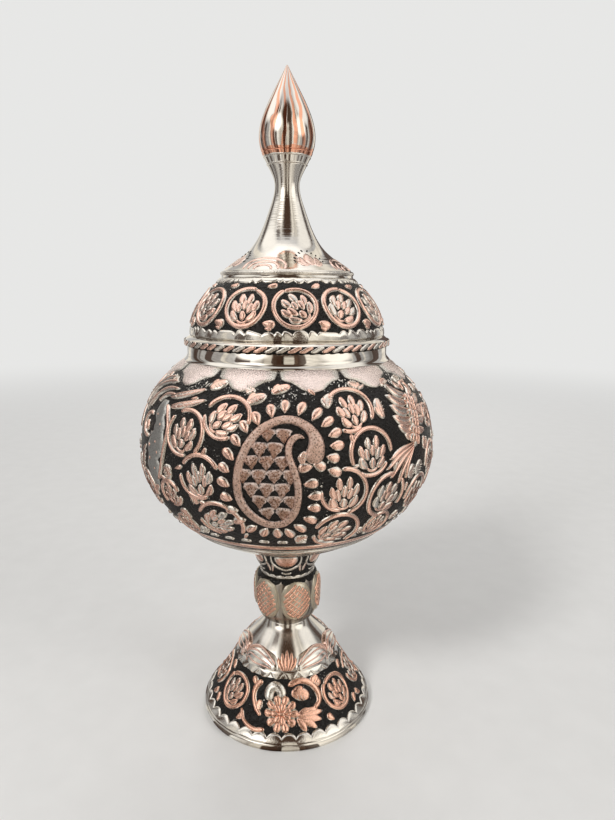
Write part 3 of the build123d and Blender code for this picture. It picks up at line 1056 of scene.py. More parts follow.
class Relief:
    """Raised work on one turned surface, gathered strip by strip into one mesh."""

    def __init__(self, surface: TurnedSurface, sink: float = 0.12, seed: int = 7) -> None:
        """Start with no work.

        Args:
            surface: what carries it.
            sink: how deep its edge is let in.
            seed: start of what is by chance.
        """
        self.surface = surface
        self.sink = sink
        self.chance = np.random.default_rng(seed)
        self.work = bmesh.new()
        self.rise = self.work.verts.layers.float.new("rise")
        self.tone = self.work.verts.layers.float.new("tone")

    def draw(self, low: float, high: float) -> float:
        """Draw a number by chance."""
        return float(self.chance.uniform(low, high))

    def grid(self, parts: tuple[int, int]) -> tuple[list[BMVert], Rows, Rows]:
        """Add a flat grid to the work.

        Args:
            parts: faces along and across.

        Returns:
            Its vertices, and their shares along and across.
        """
        made = bmesh.ops.create_grid(self.work, x_segments=parts[0], y_segments=parts[1], size=0.5)["verts"]
        seat = np.array([v.co for v in made], float)
        along = np.clip(seat[:, 0] + 0.5, 0, 1)
        return made, along, np.sin(math.pi * np.clip(seat[:, 1], -0.5, 0.5))

    def settle(
        self, made: Sequence[BMVert], rows: Rows, rise: Rows, tone: float, index: int
    ) -> list[BMFace]:
        """Put a grid's vertices in place and mark them for their finish.

        Args:
            made: the vertices.
            rows: their x, y and z.
            rise: how far each has risen.
            tone: how much copper shows.
            index: the material index.

        Returns:
            The grid's faces.
        """
        for vert, place, up in zip(made, rows, rise):
            vert.co = place
            vert[self.rise] = float(up)
            vert[self.tone] = tone
        faces = list({face for vert in made for face in vert.link_faces})
        for face in faces:
            face.material_index = index
        return faces

    def strip(
        self, place: Place, path: Sequence[Point] | Rows, half: Curve, lift: float = 0.55,
        section: Section = Section.ROUND, parts: tuple[int, int] = (12, 4), index: int = 0,
        tone: float | None = None, round_ends: bool = True, crown: Curve | None = None, smooth: int = 0,
    ) -> None:
        """Lay one strip of raised work.

        Args:
            place: where the motif goes.
            path: its middle line, in the motif.
            half: its half width along it.
            lift: how far it stands out.
            section: its rise across.
            parts: faces along and across.
            index: its finish's index.
            tone: how much copper shows, or by chance.
            round_ends: whether it slopes down at both ends.
            crown: a share of the lift, along it.
            smooth: parts between points, for a smooth line.
        """
        line = smooth_path(path, smooth) if smooth else np.array(path, float)
        made, t, across = self.grid(parts)
        run = run_along(line)
        slope = np.gradient(line, run, axis=0)
        slope /= np.maximum(np.hypot(*slope.T), 1e-9)[:, None]
        x, y, sx, sy = (np.interp(t, run / run[-1], rows) for rows in (*line.T, *slope.T))
        size = np.maximum(np.hypot(sx, sy), 1e-9)
        width = half(t)
        rise = section.rise(across)
        if round_ends:
            edge = max(0.35, 0.6 * float(np.max(width)))
            rise = rise * rounded_in(np.clip(np.minimum(t, 1 - t) * run[-1] / edge, 0, 1))
        if crown is not None:
            rise = rise * crown(t)
        side, out = across * width, -self.sink + (lift + self.sink) * rise
        flat = np.column_stack((x - sy / size * side, y + sx / size * side, out))
        rows = self.surface.wrap(place.lay(flat), place.angle, place.height)
        faces = self.settle(made, rows, rise, self.draw(0, 1) if tone is None else tone, index)
        if place.flip:
            bmesh.ops.reverse_faces(self.work, faces=faces)
        thin = [vert for vert, near in zip(made, width < 0.02) if near]
        if thin:
            bmesh.ops.remove_doubles(self.work, verts=thin, dist=0.03)

    def leaf(
        self, place: Place, base: Point, tip: Point, width: float, bend: float = 0.0, lift: float = 0.6,
        index: int = 0, tone: float | None = None,
    ) -> None:
        """Lay an almond leaf.

        Args:
            place: where the motif goes.
            base: its base in the motif.
            tip: its tip.
            width: its half width.
            bend: to its left, as a share of its length.
            lift: how far it stands out.
            index: its finish's index.
            tone: how much copper shows.
        """
        a, b = np.array(base, float), np.array(tip, float)
        left = np.array((a[1] - b[1], b[0] - a[0])) * bend
        path = (a, (a + b) / 2 + left, b)
        self.strip(place, path, almond(width), lift, Section.LEAF, (8, 6), index, tone, smooth=5)

    def drop(
        self, place: Place, base: Point, tip: Point, width: float, lift: float = 0.6,
        tone: float | None = None,
    ) -> None:
        """Lay a drop, pointed at its base and round at its tip."""
        path = (base, ((base[0] + tip[0]) / 2, (base[1] + tip[1]) / 2), tip)
        self.strip(place, path, drop_shape(width), lift, Section.ROUND, (9, 6), tone=tone)

    def band(
        self, low: Curve, high: Curve, height: float, lift: float, steps: int, index: int = 0,
        section: Section = Section.PAD, tone: float = 0.3,
    ) -> None:
        """Lay a closed band round the axis, whose edges may wave.

        Args:
            low: its lower edge, over its line.
            high: its upper edge.
            height: its line's height.
            lift: how far it stands out.
            steps: faces round it.
            index: its finish's index.
            section: its rise across.
            tone: how much copper shows.
        """
        made, turn, across = self.grid((steps, 6))
        bottom, top = low(turn), high(turn)
        rise = section.rise(across)
        up, out = bottom + (top - bottom) * (across + 1) / 2, -self.sink + (lift + self.sink) * rise
        rows = self.surface.wrap(np.column_stack((np.zeros(len(made)), up, out)), 0, height)
        c, s = np.cos(turn * 2 * math.pi), np.sin(turn * 2 * math.pi)
        x, y, z = rows.T
        self.settle(made, np.column_stack((x * c - y * s, x * s + y * c, z)), rise, tone, index)
        seam = [vert for vert, t in zip(made, turn) if t < 1e-6 or t > 1 - 1e-6]
        bmesh.ops.remove_doubles(self.work, verts=seam, dist=0.01)

    def finish(self, name: str, finishes: Sequence[Finish], stock: Stock) -> None:
        """Make the gathered work one piece and set it on its body."""
        add_piece(name, self.work, finishes, stock)


# ------------------------------------------------------------------ motifs
@dataclass(frozen=True)
class LeafSpray:
    """A tight spray of almond leaves on one stem, in a circle of one unit, upright.

    Each leaf has a base, a tip, a half width and a bend.
    """

    leaves: tuple[tuple[Point, Point, float, float], ...] = (
        ((0.02, -0.68), (0.00, -0.20), 0.160, 0.0),
        ((-0.16, -0.66), (-0.58, -0.16), 0.165, 0.14),
        ((0.18, -0.66), (0.58, -0.14), 0.165, -0.14),
        ((-0.34, -0.26), (-0.56, 0.34), 0.160, 0.10),
        ((0.35, -0.24), (0.55, 0.36), 0.160, -0.10),
        ((-0.17, -0.36), (-0.29, 0.20), 0.150, 0.05),
        ((0.18, -0.34), (0.30, 0.22), 0.150, -0.05),
        ((-0.15, 0.08), (-0.24, 0.68), 0.160, 0.05),
        ((0.15, 0.06), (0.22, 0.70), 0.160, -0.05),
        ((0.00, -0.20), (0.01, 0.34), 0.140, 0.0),
    )
    plump: float = 1.16
    shift: float = 0.035

    def lay(self, relief: Relief, place: Place, radius: float) -> None:
        """Lay the spray, each leaf a little out of its place, and the cup that it springs from.

        Args:
            relief: the work.
            place: where it goes.
            radius: the radius of its circle.
        """
        tone = relief.draw(0.6, 1)
        for base, tip, width, bend in self.leaves:
            shift = relief.chance.uniform(-self.shift, self.shift, 4)
            start = ((base[0] + shift[0]) * radius, (base[1] + shift[1]) * radius)
            stop = ((tip[0] + shift[2]) * radius, (tip[1] + shift[3]) * radius)
            own = float(np.clip(tone + relief.draw(-0.3, 0.3), 0, 1))
            size = self.plump * width * radius * relief.draw(0.9, 1.12)
            relief.leaf(place, start, stop, size, bend, relief.draw(0.95, 1.25), tone=own)
        cup = arc_path(0.30 * radius, 205, 335, centre=(0, -0.46 * radius), steps=10)
        relief.strip(place, cup, even(0.075 * radius, 0.3), 0.6, parts=(9, 5), tone=tone)


@dataclass(frozen=True)
class Scroll:
    """A round scroll in two arcs: one over the spray, one that comes under it and carries it.

    The arcs run from one angle to another, in degrees from the right; the
    under arc draws in towards the spray's foot.
    """

    radius: float = 10.6
    stem: float = 1.15
    over: Point = (165, -20)
    under: Point = (185, 290)
    draw_in: float = 0.78
    leaf_turn: float = 0.0
    spray: float = 1.0
    part: float = 7.0

    def lay(self, relief: Relief, place: Place) -> None:
        """Lay the arcs and the spray.

        Args:
            relief: the work.
            place: where it goes.
        """
        middle = self.radius - self.stem
        self.stems(relief, place, middle)
        LeafSpray().lay(relief, replace(place, turn=place.turn + self.leaf_turn), self.spray * middle)

    def stems(self, relief: Relief, place: Place, middle: float) -> None:
        """Lay the two arcs, each in parts of a few degrees.

        Args:
            relief: the work.
            place: where it goes.
            middle: their line's radius.
        """
        over = max(12, round(abs(self.over[1] - self.over[0]) / self.part))
        path = arc_path(middle, *self.over, steps=over)
        relief.strip(place, path, even(self.stem, 0.07), 1.05, parts=(over, 7), tone=0.8)
        fewest = 8
        under = max(fewest, round(abs(self.under[1] - self.under[0]) / self.part))
        if under > fewest:
            path = arc_path(middle, *self.under, end_radius=middle * self.draw_in, steps=under)
            relief.strip(place, path, even(0.9 * self.stem, 0.12), 1.0, parts=(under, 7), tone=0.7)


@dataclass(frozen=True)
class FullRing(Scroll):
    """A closed ring of stem round a leaf spray, its end laid over its start."""

    overlap: float = 8.0

    def stems(self, relief: Relief, place: Place, middle: float) -> None:
        """Lay the ring.

        Args:
            relief: the work.
            place: where it goes.
            middle: its line's radius.
        """
        start, end_radius = self.over[0], middle * self.draw_in**0.2
        ring = arc_path(middle, start, start + (360 + self.overlap), end_radius=end_radius, steps=60)
        relief.strip(place, ring, even(self.stem, 0.04), 1.0, parts=(54, 7), tone=0.75)


@dataclass(frozen=True)
class Paisley:
    """A paisley: a bent drop with a raised border, filled with pointed scales and ringed by drops.

    The border's points are in the motif; the drops' are an angle and a height on the bowl.
    """

    border: Points = (
        (16.2, 4.4), (17.6, 8.6), (17.8, 12.6), (16.0, 16.6), (12.8, 19.4), (8.4, 21.2), (3.4, 20.9),
        (-2.4, 17.8), (-6.4, 13.6), (-9.2, 8.6), (-11.2, 2.4), (-11.7, -4.4), (-10.2, -11.0), (-6.2, -16.8),
        (-0.6, -20.6), (5.2, -20.2), (9.4, -15.6), (11.2, -9.4), (11.2, -3.2), (9.6, 2.8), (7.8, 7.6),
        (8.0, 12.2), (10.6, 14.9), (13.4, 14.2),
    )
    drops: Points = (
        (-8.9, 158.7), (-12.8, 155.6), (-15.2, 150.6), (-17.4, 145.4), (-18.8, 140.1), (-19.0, 134.5),
        (-18.3, 128.6), (-16.8, 123.2), (-14.8, 118.6), (-10.9, 115.1), (-6.4, 113.6), (-1.7, 113.3),
        (-3.9, 161.4), (1.1, 162.9), (7.0, 162.1), (12.3, 160.1), (15.8, 157.2), (18.0, 153.2), (18.4, 148.8),
        (16.8, 144.4), (12.2, 141.7), (7.7, 141.3), (17.2, 139.2), (9.5, 135.1), (10.9, 130.1), (10.7, 125.1),
        (9.7, 119.8), (6.4, 115.9), (2.6, 113.3),
    )
    middle: Point = (4.3, 138.0)
    bulb: float = 3.8
    scale_rows: int = 8
    top_row: float = 15.4
    row_pitch: float = 5.1
    scale_pitch: float = 5.9
    scale_shift: float = -0.4

    def half_width(self, reach: float) -> Curve:
        """Give the border's half width: a round bulb at the hook, then a band that thins.

        Args:
            reach: the border's length.

        Returns:
            The half width.
        """
        def half(t: Rows) -> Rows:
            """Give the half width at shares of the length."""
            run = t * reach
            bulb = self.bulb * rounded_in(np.minimum(run, self.bulb) / self.bulb)
            swell = 2.05 * np.exp(-((np.maximum(run - self.bulb, 0) / 7.0) ** 2))
            band = 1.75 - 0.35 * np.clip((t - 0.6) / 0.4, 0, 1) + swell
            return np.where(run < self.bulb, bulb, band * np.sqrt(np.clip((1 - t) / 0.03, 0, 1)))
        return half

    def lay(self, relief: Relief, place: Place) -> None:
        """Lay the border, the scales inside it and the drops round it.

        Args:
            relief: the work.
            place: where it goes.
        """
        line = smooth_path(self.border)
        reach = float(np.hypot(*np.diff(line, axis=0).T).sum())
        self.lay_scales(relief, place, line)
        self.lay_drops(relief, place, line)

        def swell(t: Rows) -> Rows:
            """Raise the hook's bulb out of the ground, and a little over the rest."""
            return np.sqrt(np.clip(t * reach / 2.2, 0, 1)) * (1 + 0.3 * np.exp(-(((t * reach - 6) / 6) ** 2)))

        half = self.half_width(reach)
        relief.strip(place, line, half, 1.3, Section.PAD, (170, 10), 2, 0.7, round_ends=False, crown=swell)

    def lay_scales(self, relief: Relief, place: Place, line: Rows) -> None:
        """Fill the border with rows of pointed scales that hang over each other.

        Args:
            relief: the work.
            place: where it goes.
            line: the border's middle line.
        """
        for row in range(self.scale_rows):
            y = self.top_row - row * self.row_pitch
            for column in range(-4, 5):
                x = (column + 0.5 * (row % 2)) * self.scale_pitch + self.scale_shift
                if not clear_inside(line, (x, y), 1.6):
                    continue
                shift = relief.chance.uniform(-0.6, 0.6, 4)
                path = ((x + shift[0], y + 2.7), (x, y), (x + shift[1], y - 3.3 + shift[2]))
                half = self.scale_shape(float(shift[3]))
                crown = through((0.45, 1.0))
                relief.strip(place, path, half, 1.05, Section.DISH, (16, 8), 3, 0.9, crown=crown)

    @staticmethod
    def scale_shape(ragged: float) -> Curve:
        """Give a scale its half width: square at its shoulders, pointed below, with ragged edges."""
        smooth = through((2.6, 3.2, 3.25, 2.7, 1.4, 0.0), (0, 0.06, 0.34, 0.46, 0.72, 1.0))
        return lambda t: smooth(t) * (1 + 0.10 * np.sin(19 * t + 9 * ragged))

    def lay_drops(self, relief: Relief, place: Place, line: Rows) -> None:
        """Ring the border with drops that point away from it, and lean up on its outer side.

        Args:
            relief: the work.
            place: where it goes.
            line: the border's middle line.
        """
        surface = relief.surface
        for angle, height in self.drops:
            x = math.radians(angle + self.middle[0]) * surface.radius_at(height)
            y = surface.reach_at(height) - surface.reach_at(self.middle[1])
            apart = np.array((x, y)) - line
            far = np.hypot(*apart.T)
            n = apart[far.argmin()] / far.min()
            lean = 0.4 * max(0.0, -float(n[0]))
            n = np.array((n[0] + lean * n[1], n[1] + lean * abs(n[0])))
            n *= relief.draw(2.9, 3.3) / np.hypot(*n)
            tone = relief.draw(0.45, 0.9)
            relief.drop(place, (x - n[0], y - n[1]), (x + n[0], y + n[1]), 2.25, 1.2, tone)


def clear_inside(line: Rows, point: Point, margin: float) -> bool:
    """Say whether a point lies inside a closed line, and clear of it.

    Args:
        line: rows of x and y.
        point: the point.
        margin: how clear it has to be.

    Returns:
        Whether it does.
    """
    x, y = line[:, 0] - point[0], line[:, 1] - point[1]
    turn = np.arctan2(y, x)
    step = (np.diff(np.append(turn, turn[0])) + math.pi) % (2 * math.pi) - math.pi
    return float(np.hypot(x, y).min()) > margin and abs(float(step.sum())) > math.pi


@dataclass(frozen=True)
class BigLeaf:
    """A broad leaf with a side lobe and slashes cut across it."""

    length: float = 8.0
    width: float = 2.0
    slashes: int = 3

    def lay(self, relief: Relief, place: Place, tone: float | None = None) -> None:
        """Lay the leaf, pointing to the right when it isn't turned.

        Args:
            relief: the work.
            place: where it goes.
            tone: how much copper shows, or by chance.
        """
        half, wide = 0.5 * self.length, self.width
        shade = relief.draw(0.3, 1) if tone is None else tone
        blade = ((-half, -0.6), (-0.2 * half, 0.4), (half, 0.2))
        relief.strip(place, blade, almond(1.2 * wide, 0.5), 1.1, Section.LEAF, (14, 9), 0, shade, smooth=6)
        for k in range(self.slashes):
            x = (-0.35 + 0.32 * k) * half
            cut = ((x, 0.3), (x + 0.4, -0.25 * wide), (x + 1.1, -0.75 * wide))
            relief.strip(place, cut, even(0.22, 0.3), 1.3, Section.PAD, (6, 4), tone=0.0)
        lobe = ((-0.7 * half, 0.2), (-0.35 * half, 0.75 * wide), (0.15 * half, 1.35 * wide))
        relief.strip(place, lobe, almond(0.7 * wide, 0.55), 0.95, Section.LEAF, (9, 7), 0, shade, smooth=5)


@dataclass(frozen=True)
class FlyingBird:
    """A bird seen from above: two wings of layered feathers, a scaly body and a long tail.

    A wing's feathers each have a base, a tip and a half width.
    """

    left_wing: tuple[tuple[Point, Point, float], ...] = (
        ((1.4, -2.8), (-6.4, -2.2), 2.0), ((1.8, 0.0), (-9.4, 2.0), 2.5), ((2.2, 3.2), (-11.0, 6.2), 2.7),
        ((2.6, 6.6), (-9.8, 10.8), 2.8), ((3.6, 10.0), (-8.8, 15.6), 2.7), ((5.0, 12.6), (-5.4, 20.6), 2.4),
    )
    right_wing: tuple[tuple[Point, Point, float], ...] = (
        ((5.0, -1.2), (11.6, -3.0), 1.9), ((6.0, 2.0), (14.8, 2.2), 2.3), ((6.8, 5.4), (15.6, 7.6), 2.5),
        ((7.0, 8.8), (16.2, 13.0), 2.4), ((6.8, 12.0), (13.4, 18.0), 2.1),
    )
    tail: Points = ((-17.6, -10.8), (-19.6, -14.6), (-17.2, -18.4), (-12.6, -21.6), (-7.6, -20.4))
    body: Points = ((7.0, 14.4), (5.2, 8.4), (3.8, 2.4), (2.2, -3.0), (0.0, -8.8))
    girth: Numbers = (1.2, 3.0, 4.0, 3.6, 2.6, 1.0)
    head: Point = (8.8, 17.2)

    def lay(self, relief: Relief, place: Place) -> None:
        """Lay the bird, its body at the place.

        Args:
            relief: the work.
            place: where it goes.
        """
        for wing, bend in ((self.left_wing, 0.12), (self.right_wing, -0.12)):
            for k, (base, tip, width) in enumerate(wing):
                tone = relief.draw(0.6, 1)
                relief.leaf(place, base, tip, width, bend, 1.05 + 0.1 * k, tone=tone)
        plume = almond(1.25, 0.8, 1.5)
        for k, tip in enumerate(self.tail):
            base = (0.6 - 0.5 * k, -6.0 - 0.5 * k)
            path = (base, ((base[0] + tip[0]) / 2 - 0.6, (base[1] + tip[1]) / 2 + 0.8), tip)
            relief.strip(place, path, plume, 1.15, parts=(18, 7), tone=relief.draw(0.5, 1), smooth=6)
        girth = through(self.girth)
        relief.strip(place, self.body, girth, 1.3, Section.DISH, (24, 12), tone=0.1, smooth=6)
        self.lay_scales(relief, place)
        neck = arc_path(2.5, -60, 230, centre=self.head, steps=16)
        relief.strip(place, neck, even(1.0, 0.2), 1.2, parts=(16, 6), tone=0.8)
        relief.leaf(place, (6.6, 17.0), (1.8, 21.6), 1.4, 0.2, 1.0, tone=0.7)
        relief.leaf(place, (10.6, 18.2), (14.6, 20.8), 1.1, 0.0, 0.9, tone=0.7)

    @staticmethod
    def lay_scales(relief: Relief, place: Place) -> None:
        """Lay rows of drops down the body.

        Args:
            relief: the work.
            place: where it goes.
        """
        for row in range(6):
            for column in (-1, 0, 1):
                x, y = 5.7 - 1.1 * row + 2.1 * column, 11.0 - 3.2 * row - 0.9 * column
                shift = relief.chance.uniform(-0.4, 0.4, 2)
                tip = (x - 0.5 + shift[0], y - 1.8 + shift[1])
                tone = relief.draw(0.5, 1)
                relief.drop(place, (x + 0.5, y + 1.9), tip, 1.35 - 0.06 * row, 1.85, tone)


@dataclass(frozen=True)
class StandingBird:
    """A tall bird with a smooth tinned body in a copper outline, a crest, wings and a curled tail."""

    body: Points = (
        (0.4, 16.6), (0.6, 11.2), (2.6, 6.0), (2.8, 1.0), (1.0, -4.0), (0.4, -10.0), (1.5, -16.0),
        (3.6, -20.6),
    )
    girth: Numbers = (2.0, 3.8, 4.6, 5.2, 7.0, 6.2, 4.6, 1.4)
    specks: tuple[Triple, ...] = (
        (2.6, -1.4, 0.7), (-3.0, -3.6, 0.9), (4.6, -5.4, 0.7), (-1.8, -9.0, 0.8), (2.8, -12.4, 0.6),
        (4.0, 6.0, 0.7), (-0.4, 9.6, 0.6),
    )
    side: Points = ((3.6, 15.0), (6.6, 11.4), (10.2, 5.2), (9.8, -2.1), (8.4, -9.7), (5.6, -16.7))
    wings: tuple[tuple[Point, Point, Point], ...] = (
        ((2.3, 18.0), (11.0, 20.6), (20.4, 24.2)), ((6.4, 14.0), (16.6, 16.9), (24.2, 19.4)),
    )
    crest: tuple[Points, ...] = (
        ((-25.0, 9.0), (-22.8, 19.0), (-13.0, 25.4), (-4.9, 27.6)),
        ((-19.4, 12.4), (-15.6, 20.6), (-8.0, 24.2), (0.6, 25.6)),
        ((-12.8, 10.6), (-9.2, 18.0), (-2.6, 21.6), (5.4, 22.4)),
        ((-16.4, 8.4), (-13.6, 14.6), (-9.0, 18.6)),
        ((-5.0, 14.4), (-1.0, 18.6), (5.6, 19.6)),
    )
    tail_feathers: int = 4

    def lay(self, relief: Relief, place: Place, index: int = 1) -> None:
        """Lay the bird.

        Args:
            relief: the work.
            place: where it goes.
            index: its body's index.
        """
        self.lay_body(relief, place, index)
        for wing in self.wings:
            self.lay_wing(relief, place, wing)
        for marks in self.crest:
            relief.strip(place, marks, almond(1.35, 0.45), 1.15, parts=(20, 7), tone=0.45, smooth=9)
        for k in range(self.tail_feathers):
            base, tip = (-7.6 - 0.8 * k, -4.6 - 2.8 * k), (-13.2, -11.6 - 2.0 * k)
            path = (base, (-10.6 - 0.6 * k, -7.0 - 2.6 * k), tip)
            relief.strip(place, path, almond(1.15, 0.5), 0.8, Section.LEAF, (12, 6), tone=0.8, smooth=5)
        curl = arc_path(4.4, 150, -80, centre=(8.0, -19.4), steps=20)
        relief.strip(place, curl, even(1.0, 0.15), 0.85, parts=(20, 6), tone=0.8)
        foot = ((10.6, -10.0), (13.2, -11.2), (14.6, -13.8))
        relief.strip(place, foot, even(1.5, 0.15), 0.85, Section.PAD, (8, 7), tone=0.8)
        relief.drop(place, (3.6, -19.6), (-1.6, -23.4), 1.6, 0.8, tone=0.7)

    def lay_body(self, relief: Relief, place: Place, index: int) -> None:
        """Lay the body with its ragged edge, the neck beside it, its specks and its outline.

        Args:
            relief: the work.
            place: where it goes.
            index: its body's index.
        """
        girth = through(self.girth)

        def ragged(t: Rows) -> Rows:
            """Give the half width along the body."""
            return girth(t) * (1 + 0.16 * np.sin(17 * t) + 0.10 * np.sin(43 * t + 1))

        relief.strip(place, self.body, ragged, 0.75, Section.PAD, (70, 16), index, 0.1, smooth=8)
        neck = arc_path(4.9, 60, 300, centre=(-7.4, 4.4), steps=22)
        relief.strip(place, neck, even(1.15, 0.12), 1.15, parts=(22, 7), tone=0.7)
        cheek = ((-9.4, 6.0), (-8.2, 3.8), (-8.0, 1.2))
        relief.strip(place, cheek, even(1.7, 0.2), 1.0, Section.PAD, (7, 7), tone=0.9)
        for x, y, size in self.specks:
            relief.drop(place, (x, y + size), (x + 0.4, y - size), 0.7 * size, 1.0, tone=1.0)
        relief.strip(place, self.side, even(1.25, 0.1), 1.15, parts=(32, 7), tone=0.6, smooth=7)

    @staticmethod
    def lay_wing(relief: Relief, place: Place, wing: tuple[Point, Point, Point]) -> None:
        """Lay one wing and the slashes across it.

        Args:
            relief: the work.
            place: where it goes.
            wing: its points, from the root.
        """
        relief.strip(place, wing, almond(1.9, 0.5, 0.8), 1.15, Section.LEAF, (24, 8), tone=0.6, smooth=9)
        (x, y), _, tip = wing
        for j in range(3):
            share = 0.22 + 0.2 * j
            base = (x + share * (tip[0] - x), y + share * (tip[1] - y))
            cut = (base, (base[0] + 0.5, base[1] - 0.7), (base[0] + 1.3, base[1] - 1.3))
            relief.strip(place, cut, even(0.24, 0.3), 1.2, Section.PAD, (5, 4), tone=0.0)


@dataclass(frozen=True)
class NestedArches:
    """A shell of arches, one inside another, that springs from two feet side by side."""

    width: float = 19.5
    height: float = 8.6
    arches: int = 3
    stem: float = 0.66

    def lay(self, relief: Relief, place: Place, lift: float) -> None:
        """Lay the arches.

        Args:
            relief: the work.
            place: where it goes.
            lift: how far they stand out.
        """
        for k in range(self.arches):
            share = 1 - k / (self.arches + 0.35)
            t = np.linspace(0, math.pi, 25)
            x, y = -0.5 * self.width * share * np.cos(t), self.height * share * np.sin(t) ** 0.8
            path = np.column_stack((x, y))
            relief.strip(place, path, even(self.stem, 0.12), lift, Section.PAD, (22, 4), tone=0.9)


# ------------------------------------------------------------------ the base
FOOT_WALL = straight((42.0, 0.0), (42.0, 2.4))
FOOT_SKIRT = TurnedLine(((42.0, 2.4), (31.9, 15.0), (24.75, 27.0)), (-1, 1), (-0.5, 1))
FOOT_COVE = TurnedLine(((24.75, 27.0), (13.6, 41.0), (11.0, 45.3)), (-0.5, 1), (0, 1))
KNOP_LINE = TurnedLine(((11.0, 45.3), (15.6, 59.0), (13.2, 70.0)), (2, 1), (-1, 1))
CALYX_LINE = TurnedLine(((13.2, 70.0), (18.0, 83.8)), (0, 1), (1, 3))
BOWL_LOW = TurnedLine(((16.0, 83.8), (51.9, 103.0), (67.35, 134.6)), (3, 1), (0, 1))
BOWL_HIGH = TurnedLine(((67.35, 134.6), (62.05, 158.0), (46.3, 174.8)), (0, 1), (-5, 4))
DOME_LINE = TurnedLine(((44.1, 186.0), (38.45, 201.2), (29.8, 211.0)), (0, 1), (-1, 1))
FLARE_LINE = TurnedLine(((29.4, 213.7), (16.7, 223.5), (8.0, 240.7), (5.5, 251.0)), (-5, 4), (0, 1))
LIP_LINE = TurnedLine(((5.5, 251.0), (8.5, 259.1)), (0, 1), (1, 2))
CUP_LINE = TurnedLine(((8.5, 259.1), (11.2, 264.3)), (1, 2), (1, 2))
BUD_LINE = TurnedLine(((11.0, 264.3), (12.35, 270.2), (7.7, 286.0), (0.3, 300.0)), (1, 2), (-1, 2))
FINE = 0.5


